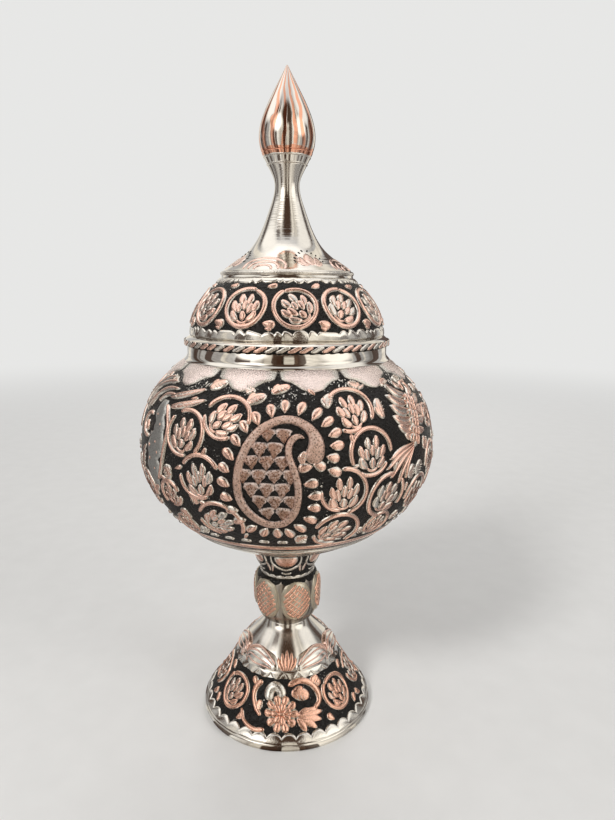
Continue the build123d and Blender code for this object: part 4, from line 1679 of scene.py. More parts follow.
@dataclass(frozen=True)
class Foot:
    """The trumpet foot, with its silver rim, birds and scrolls on black, and three pairs of wings."""

    wall: float = 1.0
    rim_top: float = 3.9
    skirt_top: float = 25.6
    hem: tuple[float, float] = (41.0, 38.0)
    wing_angles: Numbers = (36.6, 86.2, 156.6, 206.2, 276.6, 326.2)
    wing_line: Points = ((-11.6, -3.8), (-5.0, -0.8), (2.0, 0.2), (10.0, -1.8))
    wing_girth: Numbers = (0.1, 2.0, 4.6, 5.4, 4.6, 2.4)
    wing_marks: Numbers = (0, 0.08, 0.3, 0.6, 0.85, 1)
    wing_arcs: int = 4
    bud_height: float = 31.4
    bud_leaves: Points = ((0, 6.4), (-2.2, 5.0), (2.2, 5.2), (-4.2, 2.6), (4.2, 2.8))
    ring_height: float = 15.6
    rings: tuple[tuple[float, bool], ...] = (
        (-126.0, True), (-88.0, False), (-50.5, True), (50.5, True), (88.0, False), (126.0, True),
    )
    low_drops: Points = ((-1, 8.4), (1, 8.6))
    high_drops: Points = ((-1, 23.0), (1, 22.6))
    birds: Numbers = (0.0, 180.0)
    bird_stems: tuple[tuple[Points, float], ...] = (
        (((-10.8, 10.8), (-14.2, 7.6), (-15.4, 3.4), (-14.0, -1.4), (-11.4, -4.4)), 1.5),
        (((-22.0, -3.6), (-20.2, -8.2), (-14.6, -10.2), (-9.2, -9.4)), 1.3),
        (((0.8, 9.6), (6.7, 11.6), (12.4, 9.2), (16.0, 4.6), (16.4, 0.6), (13.4, -1.6)), 1.6),
    )
    bird_rounds: tuple[tuple[int, float, float, float, float], ...] = (
        (10, 2.6, 6.9, 1.75, 0.0), (7, 0.4, 4.3, 1.5, 0.5), (1, -1.4, 1.6, 1.3, 0.0),
    )
    bird_neck: Points = ((-6.6, 2.6), (-6.2, 6.2), (-4.4, 8.2), (-2.2, 7.4), (-0.6, 4.2))
    bird_tail: Points = (
        (11.6, -0.9), (15.4, -1.4), (17.8, -3.4), (17.4, -6.6), (15.0, -9.4), (9.8, -10.0),
    )

    def surface(self) -> TurnedSurface:
        """Give the foot's outside."""
        return TurnedSurface(FOOT_WALL, FOOT_SKIRT.sample(), FOOT_COVE.sample())

    def shell(self) -> None:
        """Spin the sheet, with its edge turned in below."""
        section, inside = self.surface().closed(self.wall)
        hem = straight((self.hem[0], self.wall), (self.hem[1], self.wall), (self.hem[1], 0.0))
        zones = (Zone(self.rim_top, 0), Zone(self.skirt_top, 1), Zone(TOP, 0))
        work = spun_shell(np.vstack((section[:-1], hem)), zones, 2, inside)
        add_piece("foot_trumpet", work, (POLISHED_TIN, GROUND, SATIN_TIN), BASE_TIN, "foot_shell")

    def borders(self) -> None:
        """Lay the scalloped silver edges over and under the black ground."""
        relief = Relief(self.surface(), seed=3)
        relief.band(level(-2.0), scalloped(0.6, 2.5, 36, 0.2), 4.2, 0.5, 864)
        relief.band(scalloped(-0.4, -2.6, 24, 0.1), level(1.6), 27.6, 0.6, 672)
        relief.finish("foot_scalloped_edges", (BRIGHT_WORK,), BASE_TIN)

    def wings(self) -> None:
        """Raise the wings in pairs, chase arcs that fan from the bud between them, and the bud."""
        relief = Relief(self.surface(), sink=0.2, seed=5)
        for k, angle in enumerate(self.wing_angles):
            self.wing(relief, Place(angle, 31.5, 0, 0.94, k % 2 == 1))
        for angle in round_axis(3, 1.4):
            for k, (lean, reach) in enumerate(self.bud_leaves):
                base, tip = (0.18 * lean, -4.6 + 0.2 * k), (lean, reach)
                relief.leaf(Place(angle, self.bud_height), base, tip, 1.25, -0.03 * lean, 1.0, tone=0.9)
        relief.finish("foot_wings", (WARM, WING_TIN, SCRATCHED), BASE_TIN)

    def wing(self, relief: Relief, place: Place) -> None:
        """Raise one wing and chase its arcs.

        Args:
            relief: the work.
            place: where it goes.
        """
        girth = through(self.wing_girth, self.wing_marks)
        relief.strip(place, self.wing_line, girth, 1.35, Section.DISH, (34, 22), 1, 0.1, smooth=7)
        crown = through((0.45, 0.95, 0.95, 0.6), (0, 0.2, 0.8, 1))
        for j in range(self.wing_arcs):
            apex = 5.4 - 2.7 * j
            arc = (
                (-11.2 + 0.4 * j, -4.0), (-6.0 + 0.5 * j, 1.6 - 1.5 * j), (1.2 + 0.6 * j, apex),
                (7.4 - 0.2 * j, 0.62 * apex), (10.2 - 0.5 * j, -1.2 - 1.1 * j),
            )
            half = even(0.58, 0.15)
            relief.strip(place, arc, half, 1.72, Section.PAD, (34, 5), 2, 0.95, crown=crown, smooth=6)

    def figures(self) -> None:
        """Lay the rings, drops, birds and leaves on the black ground."""
        relief = Relief(self.surface(), seed=11)
        for angle, closed in self.rings:
            kind, over = (FullRing, (130, 130)) if closed else (Scroll, (150, -60))
            lean = -18 if angle < 0 else 14
            scroll = kind(radius=9.1, stem=1.2, over=over, under=(165, 285), leaf_turn=lean, spray=1.04)
            scroll.lay(relief, Place(angle, self.ring_height))
            drops = [Place(angle + side * 14.5, height, 90 - 40 * side) for side, height in self.low_drops]
            drops += [
                Place(angle + side * 19, height, 90 + 40 * side)
                for side, height in self.high_drops if side * angle < 0
            ]
            for place in drops:
                relief.drop(place, (-2.3, 0), (2.6, 0), 1.8, 1.0, 0.9)
        for angle in self.birds:
            self.bird(relief, angle)
        relief.finish("foot_figures", (WARM, TIN_WORK), BASE_TIN)

    def bird(self, relief: Relief, angle: float) -> None:
        """Lay one bird with a scaly body, a tinned neck and a fan tail, among partial scrolls.

        Args:
            relief: the work.
            angle: where it goes.
        """
        place, body, fan = Place(angle, 14.6), Place(angle, 14.0, 0, 1.2), Place(angle, 14.6, 0, 1.06)
        for marks, wide in self.bird_stems:
            relief.strip(place, marks, even(wide, 0.12), 1.1, parts=(30, 8), tone=0.85, smooth=8)
        for leaf, spot, tone in (
            (BigLeaf(9.4, 2.6), Place(angle + 14.0, 19.0, -18), 0.95),
            (BigLeaf(6.4, 2.1), Place(angle + 31.0, 22.6, -40), 0.9),
            (BigLeaf(5.4, 1.7), Place(angle - 21.6, 14.6, 80), 0.8),
        ):
            leaf.lay(relief, spot, tone)
        middle = -1.4
        for count, near, far, width, shift in self.bird_rounds:
            for k in range(count):
                turn = 2 * math.pi * (k + shift) / count
                c, s = math.cos(turn), math.sin(turn)
                base, tip = ((middle + reach * c, middle + reach * s) for reach in (near, far))
                relief.drop(body, base, tip, width, 1.5 - 0.04 * far, relief.draw(0.75, 1))
        neck = even(2.1, 0.2)
        relief.strip(body, self.bird_neck, neck, 1.6, parts=(24, 9), index=1, tone=0.0, smooth=6)
        for tip in self.bird_tail:
            relief.leaf(fan, (5.0, -3.6), tip, 1.8, 0.04, 1.2, tone=0.95)

    def build(self) -> None:
        """Build the foot."""
        for step in (self.shell, self.borders, self.wings, self.figures):
            step()


@dataclass(frozen=True)
class Knop:
    """The stem's hollow ball, with six raised oval petals that are hatched across.

    A hatch has a slope, a gap between its bars, their half width and the share
    of the petal that they keep to.
    """

    wall: float = 0.8
    petals: int = 6
    petal_angle: float = 19.0
    petal_height: float = 59.4
    long: float = 20.8
    wide: float = 16.6
    hatches: tuple[Numbers, ...] = ((0.95, 2.5, 0.86, 0.86), (-0.8, 3.0, 0.60, 0.76))

    def build(self) -> None:
        """Build the ball, its petals and the bars on them."""
        surface = TurnedSurface(KNOP_LINE.sample(FINE))
        spin_sheet("knop_ball", surface, self.wall, (DARK_TIN, SATIN_TIN), BASE_TIN, "stem_knop")
        relief = Relief(surface, sink=0.25, seed=23)
        for angle in round_axis(self.petals, self.petal_angle):
            place = Place(angle, self.petal_height)
            self.petal(relief, place)
            self.hatch(relief, place)
        relief.band(scalloped(-0.1, -2.0, 14, 0.4), level(1.2), 69.0, 0.3, 280, 2)
        relief.finish("knop_petals", (WARM, BEIGE_TIN, GROUND), BASE_TIN)

    def petal(self, relief: Relief, place: Place) -> None:
        """Raise one petal and ridge its outline.

        Args:
            relief: the work.
            place: where it goes.
        """
        half, reach = 0.5 * self.wide, self.long / 2

        def oval(t: Rows) -> Rows:
            """Give the half width along the petal."""
            return half * np.sqrt(np.maximum(0, 1 - (2 * t - 1) ** 2)) ** 0.9

        def crown(t: Rows) -> Rows:
            """Give the share of the lift along the petal."""
            return 0.75 + 0.25 * np.sin(math.pi * t)

        path = ((0, -reach), (0, 0), (0, reach))
        relief.strip(place, path, oval, 1.0, Section.DISH, (30, 24), 1, 0.35, crown=crown)
        turn = np.linspace(0, 2 * math.pi, 49)
        rim = np.column_stack((0.86 * half * np.sin(turn), 0.89 * reach * np.cos(turn)))
        relief.strip(place, rim, even(0.22), 1.02, Section.PAD, (60, 4), 1, 0.2, False, level(0.78))

    def hatch(self, relief: Relief, place: Place) -> None:
        """Lay the hatch bars across one petal.

        Args:
            relief: the work.
            place: where it is.
        """
        half, reach = 0.5 * self.wide, self.long / 2
        shift = relief.chance.uniform(-0.6, 0.6, 2)
        x = np.linspace(-half, half, 33)
        for slope, gap, width, room in self.hatches:
            for step in np.arange(-9, 9.1, gap):
                y = step + slope * x
                off = ((x - shift[0]) / (room * half)) ** 2 + ((y + 0.6 - shift[1]) / (room * reach)) ** 2
                if (off < 1).sum() < 7:
                    continue
                ends = relief.chance.uniform(-0.4, 0.4, 2)
                line = np.column_stack((x[off < 1], y[off < 1]))
                line[0] += ends[0] * 0.5
                line[-1] += ends[1] * 0.5
                bar = even(width, 0.12)
                relief.strip(place, line, bar, 1.24, Section.PAD, (16, 4), tone=1.0, crown=level(0.92))


@dataclass(frozen=True)
class Calyx:
    """The small black cup under the bowl, with copper lappets in silver rims."""

    wall: float = 1.0
    foot: Point = (12.2, 70.0)
    lappets: int = 6
    lappet_height: float = 78.6
    rim: Points = ((-7.6, 5.2), (-6.2, -0.4), (0, -3.6), (6.2, -0.4), (7.6, 5.2))
    dash: Points = ((-2.6, 0.4), (0, -0.3), (2.6, 0.4))

    def build(self) -> None:
        """Build the cup and its lappets."""
        surface = TurnedSurface(CALYX_LINE.sample(FINE))
        section, inside = surface.closed(self.wall)
        work = spun_shell(np.vstack((section, straight(self.foot))), inside_index=1, inner_from=inside)
        add_piece("calyx_cup", work, (GROUND, SATIN_TIN), BASE_TIN, "stem_calyx")
        relief = Relief(surface, seed=29)
        for angle in round_axis(self.lappets):
            self.lappet(relief, angle)
        relief.band(level(-0.9), scalloped(0.1, 0.8, 20, 0.2), 70.9, 0.3, 280, 1, Section.FLAT)
        relief.finish("calyx_lappets", (CHASED, TIN_WORK), BASE_TIN)

    def lappet(self, relief: Relief, angle: float) -> None:
        """Lay one lappet with its rim, the dash below it and the leaves beside it.

        Args:
            relief: the work.
            angle: where it goes.
        """
        def half(t: Rows) -> Rows:
            """Give the half width from the lappet's top down."""
            return 6.0 * np.sqrt(np.maximum(0, 1 - t**2.4)) + 0.01

        place = Place(angle, self.lappet_height)
        relief.strip(place, self.rim, even(0.55, 0.1), 0.7, parts=(30, 5), index=1, tone=0.1, smooth=7)
        relief.strip(place, ((0, 5.2), (0, 1), (0, -2.0)), half, 0.6, Section.PAD, (12, 10), tone=0.9)
        low = Place(angle, 73.2)
        relief.strip(low, self.dash, even(0.45, 0.3), 0.5, Section.PAD, (8, 4), 1, 0.1, smooth=4)
        for side in (-1, 1):
            gap = Place(angle + 30, 76.4)
            relief.leaf(gap, (side * 0.5, -3.2), (side * 1.6, 2.8), 0.75, 0, 0.6, tone=0.6)


BOWL_SCROLLS: tuple[tuple[float, float, Scroll], ...] = (
    (-20.0, 157.9, Scroll(over=(158, -14), under=(172, 296), leaf_turn=-52)),
    (-36.3, 150.8, Scroll(over=(122, -48), under=(136, 288), draw_in=0.9, leaf_turn=-4)),
    (-28.2, 134.4, Scroll(over=(152, 28), under=(172, 300), leaf_turn=6)),
    (-22.8, 116.6, Scroll(over=(160, -38), under=(178, 262), leaf_turn=-58)),
    (25.8, 160.8, Scroll(over=(152, -32), under=(232, 296), leaf_turn=10)),
    (31.3, 144.8, Scroll(over=(208, -8), under=(226, 330), draw_in=0.86, leaf_turn=-4)),
    (20.8, 130.4, Scroll(over=(100, -78), under=(168, 268), leaf_turn=0)),
    (39.0, 125.6, Scroll(over=(72, 262), under=(44, -40), draw_in=0.95, leaf_turn=-26)),
    (20.6, 112.6, Scroll(over=(165, -58), under=(-76, -172), draw_in=0.95, leaf_turn=-58)),
    (39.4, 112.6, FullRing(radius=7.0, stem=1.0, leaf_turn=-30)),
    (-43.4, 124.6, Scroll(radius=7.2, over=(230, 20), under=(5, -100), leaf_turn=20)),
    (58.0, 121.6, Scroll(radius=9.6, over=(190, -10), under=(-20, -130), leaf_turn=-14)),
    (-42.0, 110.8, FullRing(radius=6.4, stem=0.9, leaf_turn=20)),
)
SCROLLS_BESIDE_BIRDS: tuple[tuple[float, float, Scroll], ...] = (
    (69.5, 134.0, Scroll(radius=8.6, over=(200, -30), under=(-45, -120))),
    (70.9, 152.4, Scroll(radius=6.2, stem=1.0, over=(190, -40), under=(-60, -150), leaf_turn=-10)),
)
Leaves = tuple[tuple[float, float, float, float, float], ...]
BIG_LEAVES: Leaves = (
    (-28.1, 168.9, 28, 8.6, 2.4), (-9.8, 165.0, 24, 8.8, 2.3), (-0.6, 168.4, 22, 8.4, 2.0),
    (38.9, 160.3, 84, 9.6, 2.1), (17.8, 164.4, 62, 7.2, 2.0), (-39.4, 116.2, -40, 6.4, 2.2),
    (-43.4, 134.0, -60, 6.8, 2.2), (51.4, 133.0, 70, 6.6, 2.2), (7.2, 145.0, 70, 5.2, 1.5),
    (-31.6, 125.4, -60, 5.6, 1.6), (7.4, 109.8, 30, 6.0, 1.7), (-33.4, 109.6, 10, 5.6, 1.6),
    (49.6, 113.2, 60, 5.6, 1.6), (-50.0, 109.4, 30, 5.6, 1.6), (31.4, 110.2, 30, 5.0, 1.5),
    (-13.6, 168.4, 150, 6.0, 1.6), (31.6, 169.4, 160, 6.0, 1.6), (49.0, 168.6, 20, 6.4, 1.8),
    (61.6, 168.6, 150, 6.4, 1.8),
)
LEAVES_BESIDE_BIRDS: Leaves = (
    (56.4, 133.4, 55, 7.0, 2.0), (62.6, 142.6, 110, 6.6, 1.9), (73.6, 163.6, 20, 6.6, 1.9),
    (78.6, 141.6, 70, 5.6, 1.7), (78.2, 118.4, 60, 6.4, 1.9),
)
SMALL_LEAVES: tuple[tuple[float, float, float, float], ...] = (
    (-26.6, 145.2, 60, 1.8), (-37.2, 137.4, 20, 1.9), (-27.6, 124.6, 170, 1.8), (24.0, 150.6, 100, 1.8),
    (41.4, 137.6, 60, 1.8), (-14.2, 110.6, 60, 1.7), (-44.6, 127.0, 20, 1.9), (48.6, 127.2, 80, 1.8),
    (34.4, 168.0, 30, 1.9), (11.6, 167.4, 130, 1.8), (-36.6, 163.4, 20, 1.6), (62.4, 111.0, 40, 1.9),
    (24.6, 140.2, 20, 1.6),
)


@dataclass(frozen=True)
class Bowl:
    """The bowl: two spun halves, chased with paisleys, birds and scrolls on punched black."""

    wall: float = 1.2
    sectors: int = 3
    paisley: Point = (-4.3, 138.0)
    standing_bird: Point = (66.0, 146.0)
    flying_bird: Point = (53.4, 151.0)
    dashes: int = 48
    lappets: int = 12
    lappet_angle: float = 12.8
    lappet_height: float = 173.4
    lappet_girth: Numbers = (11.9, 12.0, 11.7, 10.4, 8.2, 6.9, 6.2, 5.7, 4.2, 2.2, 0.0)
    lappet_marks: Numbers = (0, 0.12, 0.42, 0.50, 0.56, 0.66, 0.70, 0.76, 0.88, 0.96, 1.0)
    gap_height: float = 168.8
    gap_leaves: tuple[Triple, ...] = (
        (-3.0, 0.3, 1.1), (-1.6, -0.6, 1.3), (0.0, 0.2, 1.5), (1.7, -0.8, 1.2), (3.2, 0.4, 1.0),
    )

    def surface(self) -> TurnedSurface:
        """Give the bowl's outside."""
        return TurnedSurface(BOWL_LOW.sample(), BOWL_HIGH.sample())

    def shells(self) -> None:
        """Spin the two halves, tinned inside and polished at the foot and the mouth."""
        for name, node, line, ground, zones in (
            ("bowl_lower_half", "bowl_lower", BOWL_LOW, GROUND, (Zone(100.5, 0), Zone(TOP, 1))),
            ("bowl_upper_half", "bowl_upper", BOWL_HIGH, WORN_GROUND, (Zone(174.1, 1), Zone(TOP, 0))),
        ):
            surface, finishes = TurnedSurface(line.sample()), (POLISHED_TIN, ground, SATIN_TIN)
            spin_sheet(name, surface, self.wall, finishes, BASE_CHASED, node, zones, 288)

    def belly(self) -> None:
        """Chase the paisleys, birds and scrolls, a third of the way round at a time."""
        for sector, middle in enumerate(round_axis(self.sectors)):
            relief = Relief(self.surface(), seed=40 + sector)
            Paisley().lay(relief, Place(middle + self.paisley[0], self.paisley[1]))
            self.scrolls(relief, middle, BOWL_SCROLLS)
            if sector == self.sectors - 1:
                StandingBird().lay(relief, Place(middle + self.standing_bird[0], self.standing_bird[1]))
            else:
                FlyingBird().lay(relief, Place(middle + self.flying_bird[0], self.flying_bird[1]))
                self.scrolls(relief, middle, SCROLLS_BESIDE_BIRDS)
                self.leaves(relief, middle, LEAVES_BESIDE_BIRDS)
            self.leaves(relief, middle, BIG_LEAVES)
            for angle, height, turn, size in SMALL_LEAVES:
                place = Place(middle + angle, height, turn)
                relief.drop(place, (-1.15 * size, 0), (1.15 * size, 0), 0.62 * size, 1.0)
            finishes = (CHASED, SILVER_PATCH, STIPPLED, SCALES)
            relief.finish(f"bowl_chasing_{sector + 1}", finishes, BASE_CHASED)

    @staticmethod
    def scrolls(relief: Relief, middle: float, scrolls: Sequence[tuple[float, float, Scroll]]) -> None:
        """Lay scrolls at their angles from the sector's middle."""
        for angle, height, scroll in scrolls:
            scroll.lay(relief, Place(middle + angle, height))

    @staticmethod
    def leaves(relief: Relief, middle: float, leaves: Leaves) -> None:
        """Lay big leaves at their angles from the sector's middle."""
        for angle, height, turn, length, width in leaves:
            BigLeaf(length, width).lay(relief, Place(middle + angle, height, turn))

    def low_bands(self) -> None:
        """Lay the dashes and bands that close the chasing below."""
        relief = Relief(self.surface(), seed=51)
        relief.band(level(-1.7), level(1.6), 103.2, 0.4, 360, 0, Section.FLAT, 0.95)
        relief.band(level(-2.6), level(1.4), 98.8, 0.5, 360, 1)
        dash, half = ((-2.4, 0.0), (0.0, 0.3), (2.4, 0.0)), even(0.9, 0.35)
        for angle in round_axis(self.dashes):
            relief.strip(Place(angle, 107.4), dash, half, 0.7, Section.PAD, (9, 5), 1, 0.1)
        relief.finish("bowl_low_bands", (CHASED, TIN_WORK), BASE_CHASED)

    def mouth_lappets(self) -> None:
        """Raise the lappets that hang from the bowl's mouth, and lay small leaves between them."""
        relief = Relief(self.surface(), sink=0.15, seed=61)
        for k in range(self.lappets):
            self.lappet(relief, Place(self.lappet_angle + k * 360 / self.lappets, self.lappet_height))
            between = self.lappet_angle + (k + 0.5) * 360 / self.lappets
            gap = Place(between, self.gap_height, relief.draw(-12, 12))
            for x, y, reach in self.gap_leaves:
                lean = relief.draw(-0.8, 0.8)
                base, tip = (x - lean, y - reach), (x + lean, y + reach)
                relief.leaf(gap, base, tip, 0.34, 0.1, 0.35, 1, 0.1)
        relief.finish("mouth_lappets", (ROSE, TIN_WORK), BASE_CHASED)

    def lappet(self, relief: Relief, place: Place) -> None:
        """Raise one lappet: a wide bracket with a cusp on both sides and a blunt point below.

        Args:
            relief: the work.
            place: where it goes.
        """
        wider = 1.03
        half = through([wider * width for width in self.lappet_girth], self.lappet_marks)
        crown = through((0.62, 0.8, 1.0, 0.85, 0.45), (0, 0.06, 0.4, 0.9, 1))
        path = ((0, 2.3), (0, -3), (0, -9.3))
        relief.strip(place, path, half, 1.25, Section.DISH, (40, 24), 0, 0.9, False, crown)

    def build(self) -> None:
        """Build the bowl."""
        for step in (self.shells, self.belly, self.low_bands, self.mouth_lappets):
            step()


@dataclass(frozen=True)
class Collar:
    """The polished upright collar in the bowl's mouth, with a thin bead where it meets the bowl."""

    bore: float = 43.4
    outer: float = 45.6
    lip: float = 47.1
    low: float = 174.8
    high: float = 181.4
    spigot: float = 44.6
    spigot_low: float = 171.2
    edge: float = 0.3

    def build(self) -> None:
        """Build the collar."""
        outer, lip, low, high, edge = self.outer, self.lip, self.low, self.high, self.edge
        section = straight(
            (outer, low), (lip + 0.1, low), (lip, low + 0.6), (lip - 0.6, low + 1.2),
            (outer + 0.3, low + 2.0), (outer, low + 3.0), (outer, high - edge), (outer - edge, high),
            (self.bore + edge, high),
            (self.bore, high - edge), (self.bore, self.spigot_low), (self.spigot, self.spigot_low),
            (self.spigot, low),
        )
        work = spun_shell(section, steps=256)
        add_piece("collar_ring", work, (BRIGHT_TIN,), BASE_TIN, "mouth_collar")


# ------------------------------------------------------------------ the lid
@dataclass(frozen=True)
class LidRim:
    """The lid's rim band, with a rope of slanting strands round it."""

    section: Points = (
        (43.15, 181.6), (46.3, 181.6), (46.6, 181.9), (46.6, 183.8), (46.3, 184.1), (44.1, 186.0),
        (43.15, 186.0),
    )
    black_top: float = 184.05
    strands: int = 64
    strand_height: float = 182.85
    strand: Points = ((-3.0, -0.95), (-1.0, -0.5), (1.0, 0.5), (3.0, 0.95))
    tin_or_copper: tuple[int, ...] = (1, 0, 0, 1, 0)

    def build(self) -> None:
        """Build the band and its rope."""
        work = spun_shell(straight(*self.section), (Zone(self.black_top, 0), Zone(TOP, 1)), steps=256)
        add_piece("rim_band", work, (GROUND, BRIGHT_TIN), LID_TIN, "lid_rim_band")
        relief = Relief(TurnedSurface(straight((46.6, 181.6), (46.6, 184.2))), sink=0.1, seed=71)
        half = almond(0.92, 0.3)
        for k, angle in enumerate(round_axis(self.strands)):
            place, index = Place(angle, self.strand_height), self.tin_or_copper[k % len(self.tin_or_copper)]
            relief.strip(place, self.strand, half, 0.4, Section.PAD, (12, 6), index, 0.8, smooth=4)
        relief.finish("rim_rope", (CHASED, TIN_WORK), LID_TIN)


@dataclass(frozen=True)
class Dome:
    """The lid's dome: rings of scroll and leaf on black between a polished flange and a brim."""

    wall: float = 1.0
    rings: int = 12
    ring_angle: float = 6.7
    ring_height: float = 199.2
    leans: Numbers = (40, -35, 30, -20, -40, 0)
    low_drops: float = 192.4
    high_drops: float = 207.2
    brim: float = 29.8
    brim_low: float = 211.0
    brim_high: float = 213.7
    bore: float = 2.2

    def shell(self) -> None:
        """Spin the dome, with its brim and its flat top."""
        brim, high, under = self.brim, self.brim_high, self.brim_high - self.wall
        line = DOME_LINE.sample(FINE)
        outside = TurnedSurface(line, straight((brim, self.brim_low), (brim, high))).outline
        section, first = TurnedSurface(line).closed(self.wall)
        top = straight((brim, high), (self.bore, high), (self.bore, under), (brim - self.wall, under))
        rows = np.vstack((outside, top, section[first:]))
        zones = (Zone(187.2, 0), Zone(211.6, 1), Zone(TOP, 0))
        work = spun_shell(rows, zones, 2, len(outside) + 2, 256)
        add_piece("dome_shell", work, (BRIGHT_TIN, GROUND, SATIN_TIN), LID_CHASED, "lid_dome")

    def chasing(self) -> None:
        """Lay the rings with their leaves, the drops between them and the edges."""
        relief = Relief(TurnedSurface(DOME_LINE.sample(FINE)), seed=83)
        for k, angle in enumerate(round_axis(self.rings, self.ring_angle)):
            start = relief.draw(0, 360)
            lean = self.leans[k % len(self.leans)]
            ring = FullRing(radius=10.0, stem=1.2, over=(start, start), leaf_turn=lean, spray=1.06)
            ring.lay(relief, Place(angle, self.ring_height))
            between = angle + 180 / self.rings
            low = Place(between, self.low_drops, relief.draw(-25, 25))
            relief.drop(low, (-2.6, 0.6), (3.2, -0.2), 2.1, 1.05, 0.9)
            relief.drop(low, (-1.4, -1.6), (1.8, -1.8), 1.0, 0.9, 0.8)
            high = Place(between, self.high_drops, relief.draw(-30, 30))
            relief.drop(high, (-2.2, -0.4), (2.4, 0.6), 1.6, 0.95, 0.9)
        relief.band(level(-1.8), waved(0.9, 1.7, 52), 187.6, 0.45, 832, 1)
        relief.band(waved(-0.8, -1.6, 42), level(1.1), 210.2, 0.45, 756, 1)
        relief.finish("dome_chasing", (CHASED, BRIGHT_WORK), LID_CHASED)

    def bead(self) -> None:
        """Lay the bright bead round the brim's edge."""
        edge = straight((self.brim, self.brim_low), (self.brim, self.brim_high))
        relief = Relief(TurnedSurface(edge), sink=0.1)
        relief.band(level(0.0), level(1.3), 212.2, 0.4, 256, tone=0.2)
        relief.finish("brim_bead", (TIN_WORK,), LID_TIN)

    def build(self) -> None:
        """Build the dome."""
        for step in (self.shell, self.chasing, self.bead):
            step()


@dataclass(frozen=True)
class Neck:
    """The slender trumpet neck, with arches and buds chased round its wide foot."""

    wall: float = 0.8
    groups: int = 4
    arch_angle: float = -19.5
    arch_height: float = 214.0
    bud_height: float = 218.0
    bud_size: float = 1.12
    dashes: Points = ((2.2, 4.2), (3.8, 2.8), (4.9, 1.0), (5.5, -1.0), (0.8, 5.4))

    def build(self) -> None:
        """Build the neck and its chasing."""
        surface = TurnedSurface(FLARE_LINE.sample(FINE), LIP_LINE.sample(0.4))
        spin_sheet("neck_trumpet", surface, self.wall, (NECK_TIN, SATIN_TIN), LID_TIN, "lid_neck")
        relief = Relief(surface, sink=0.08, seed=97)
        for angle in round_axis(self.groups, self.arch_angle):
            NestedArches().lay(relief, Place(angle, self.arch_height), 0.32)
            self.bud(relief, Place(angle + 180 / self.groups, self.bud_height, 0, self.bud_size))
        relief.finish("neck_chasing", (SCRATCHED, GROUND), LID_TIN)

    def bud(self, relief: Relief, place: Place) -> None:
        """Chase one bud of five leaves, with black dashes round it.

        Args:
            relief: the work.
            place: where it goes.
        """
        relief.leaf(place, (0, -3.6), (0, 4.8), 2.3, 0, 0.35)
        for side in (-1, 1):
            relief.leaf(place, (side * 0.9, -3.6), (side * 3.2, 2.6), 1.6, -side * 0.15, 0.33)
            relief.leaf(place, (side * 1.5, -3.6), (side * 4.9, -0.4), 1.2, -side * 0.12, 0.3)
            for x, y in self.dashes:
                dash = ((side * x, y), (side * (x + 0.3), y + 0.5), (side * (x + 0.7), y + 1.2))
                relief.strip(place, dash, even(0.34, 0.3), 0.18, Section.PAD, (5, 4), 1)


@dataclass(frozen=True)
class Finial:
    """The finial: a bud in a cup, with a bead at the cup's foot and one at its middle."""

    cup_inside: Points = ((10.3, 264.3), (2.4, 262.6), (2.4, 259.1))
    bud_bore: Points = ((0.0, 300.0), (0.0, 290.0), (2.2, 289.0), (2.2, 264.3))
    beads: tuple[Numbers, ...] = ((-0.1, 0.55, 259.4, 0.3), (-0.45, 0.45, 262.5, 0.16))

    def build(self) -> None:
        """Build the cup, the bud and the beads."""
        cup = TurnedSurface(CUP_LINE.sample(0.3))
        for name, node, line, inside in (
            ("finial_cup_turned", "finial_cup", cup.outline, self.cup_inside),
            ("finial_bud_turned", "finial_bud", BUD_LINE.sample(FINE), self.bud_bore),
        ):
            work = spun_shell(np.vstack((line, straight(*inside))), steps=128)
            add_piece(name, work, (BUD,), LID_TIN, node)
        relief = Relief(cup, sink=0.06)
        for low, high, height, lift in self.beads:
            relief.band(level(low), level(high), height, lift, 128, 0, Section.ROUND, 0.1)
        relief.finish("finial_beads", (TIN_WORK,), LID_TIN)


# ------------------------------------------------------------------ parts kept from the CAD
@dataclass(frozen=True)
class Fastenings:
    """The rods, nuts and washers, and the plug ring, which keep their CAD shapes."""

    steel: tuple[str, ...] = (
        "tie_rod", "foot_washer", "foot_nut", "bowl_washer", "finial_stud", "lid_washer", "lid_nut",
    )
    bright: tuple[str, ...] = ("bowl_cap_nut",)
    turned: tuple[str, ...] = ("lid_plug_ring",)

    def build(self) -> None:
        """Give each kept part its finish."""
        for names, finish in ((self.steel, STEEL), (self.bright, CHROME), (self.turned, SATIN_TIN)):
            for name in names:
                materials = bpy.data.objects[name].data.materials
                materials.clear()
                materials.append(finish.material())


# ------------------------------------------------------------------ studio
PALE = rgb(0.80, 0.80, 0.79)
NEUTRAL = rgb(1, 1, 1)
ROOM_DARK = (0.22, 0.21, 0.20)
ROOM_SIDES: tuple[tuple[float, Sequence[float]], ...] = (
    (0.0, (0.64,) * 3), (0.115, (0.60,) * 3), (0.145, ROOM_DARK), (0.175, (0.56, 0.56, 0.55)),
    (0.27, (0.46, 0.45, 0.44)), (0.35, (0.80, 0.79, 0.77)), (0.395, (1.2, 1.18, 1.12)),
    (0.42, (0.80, 0.76, 0.70)), (0.442, (0.11, 0.065, 0.042)), (0.50, (0.035, 0.020, 0.013)),
    (0.535, (0.12, 0.07, 0.045)), (0.558, (1.3, 1.24, 1.12)), (0.59, (1.15, 1.09, 0.98)),
    (0.64, (0.58, 0.55, 0.51)), (0.73, (0.50,) * 3), (0.785, (0.48,) * 3), (0.81, ROOM_DARK),
    (0.84, (0.55,) * 3), (1.0, (0.64,) * 3),
)


@dataclass(frozen=True)
class Glow:
    """A patch of the room that the metal mirrors: where it is, how wide, and its colour.

    The edges are the cosines at which the patch starts and is full.
    """

    aim: Triple
    edges: Point
    colour: Colour


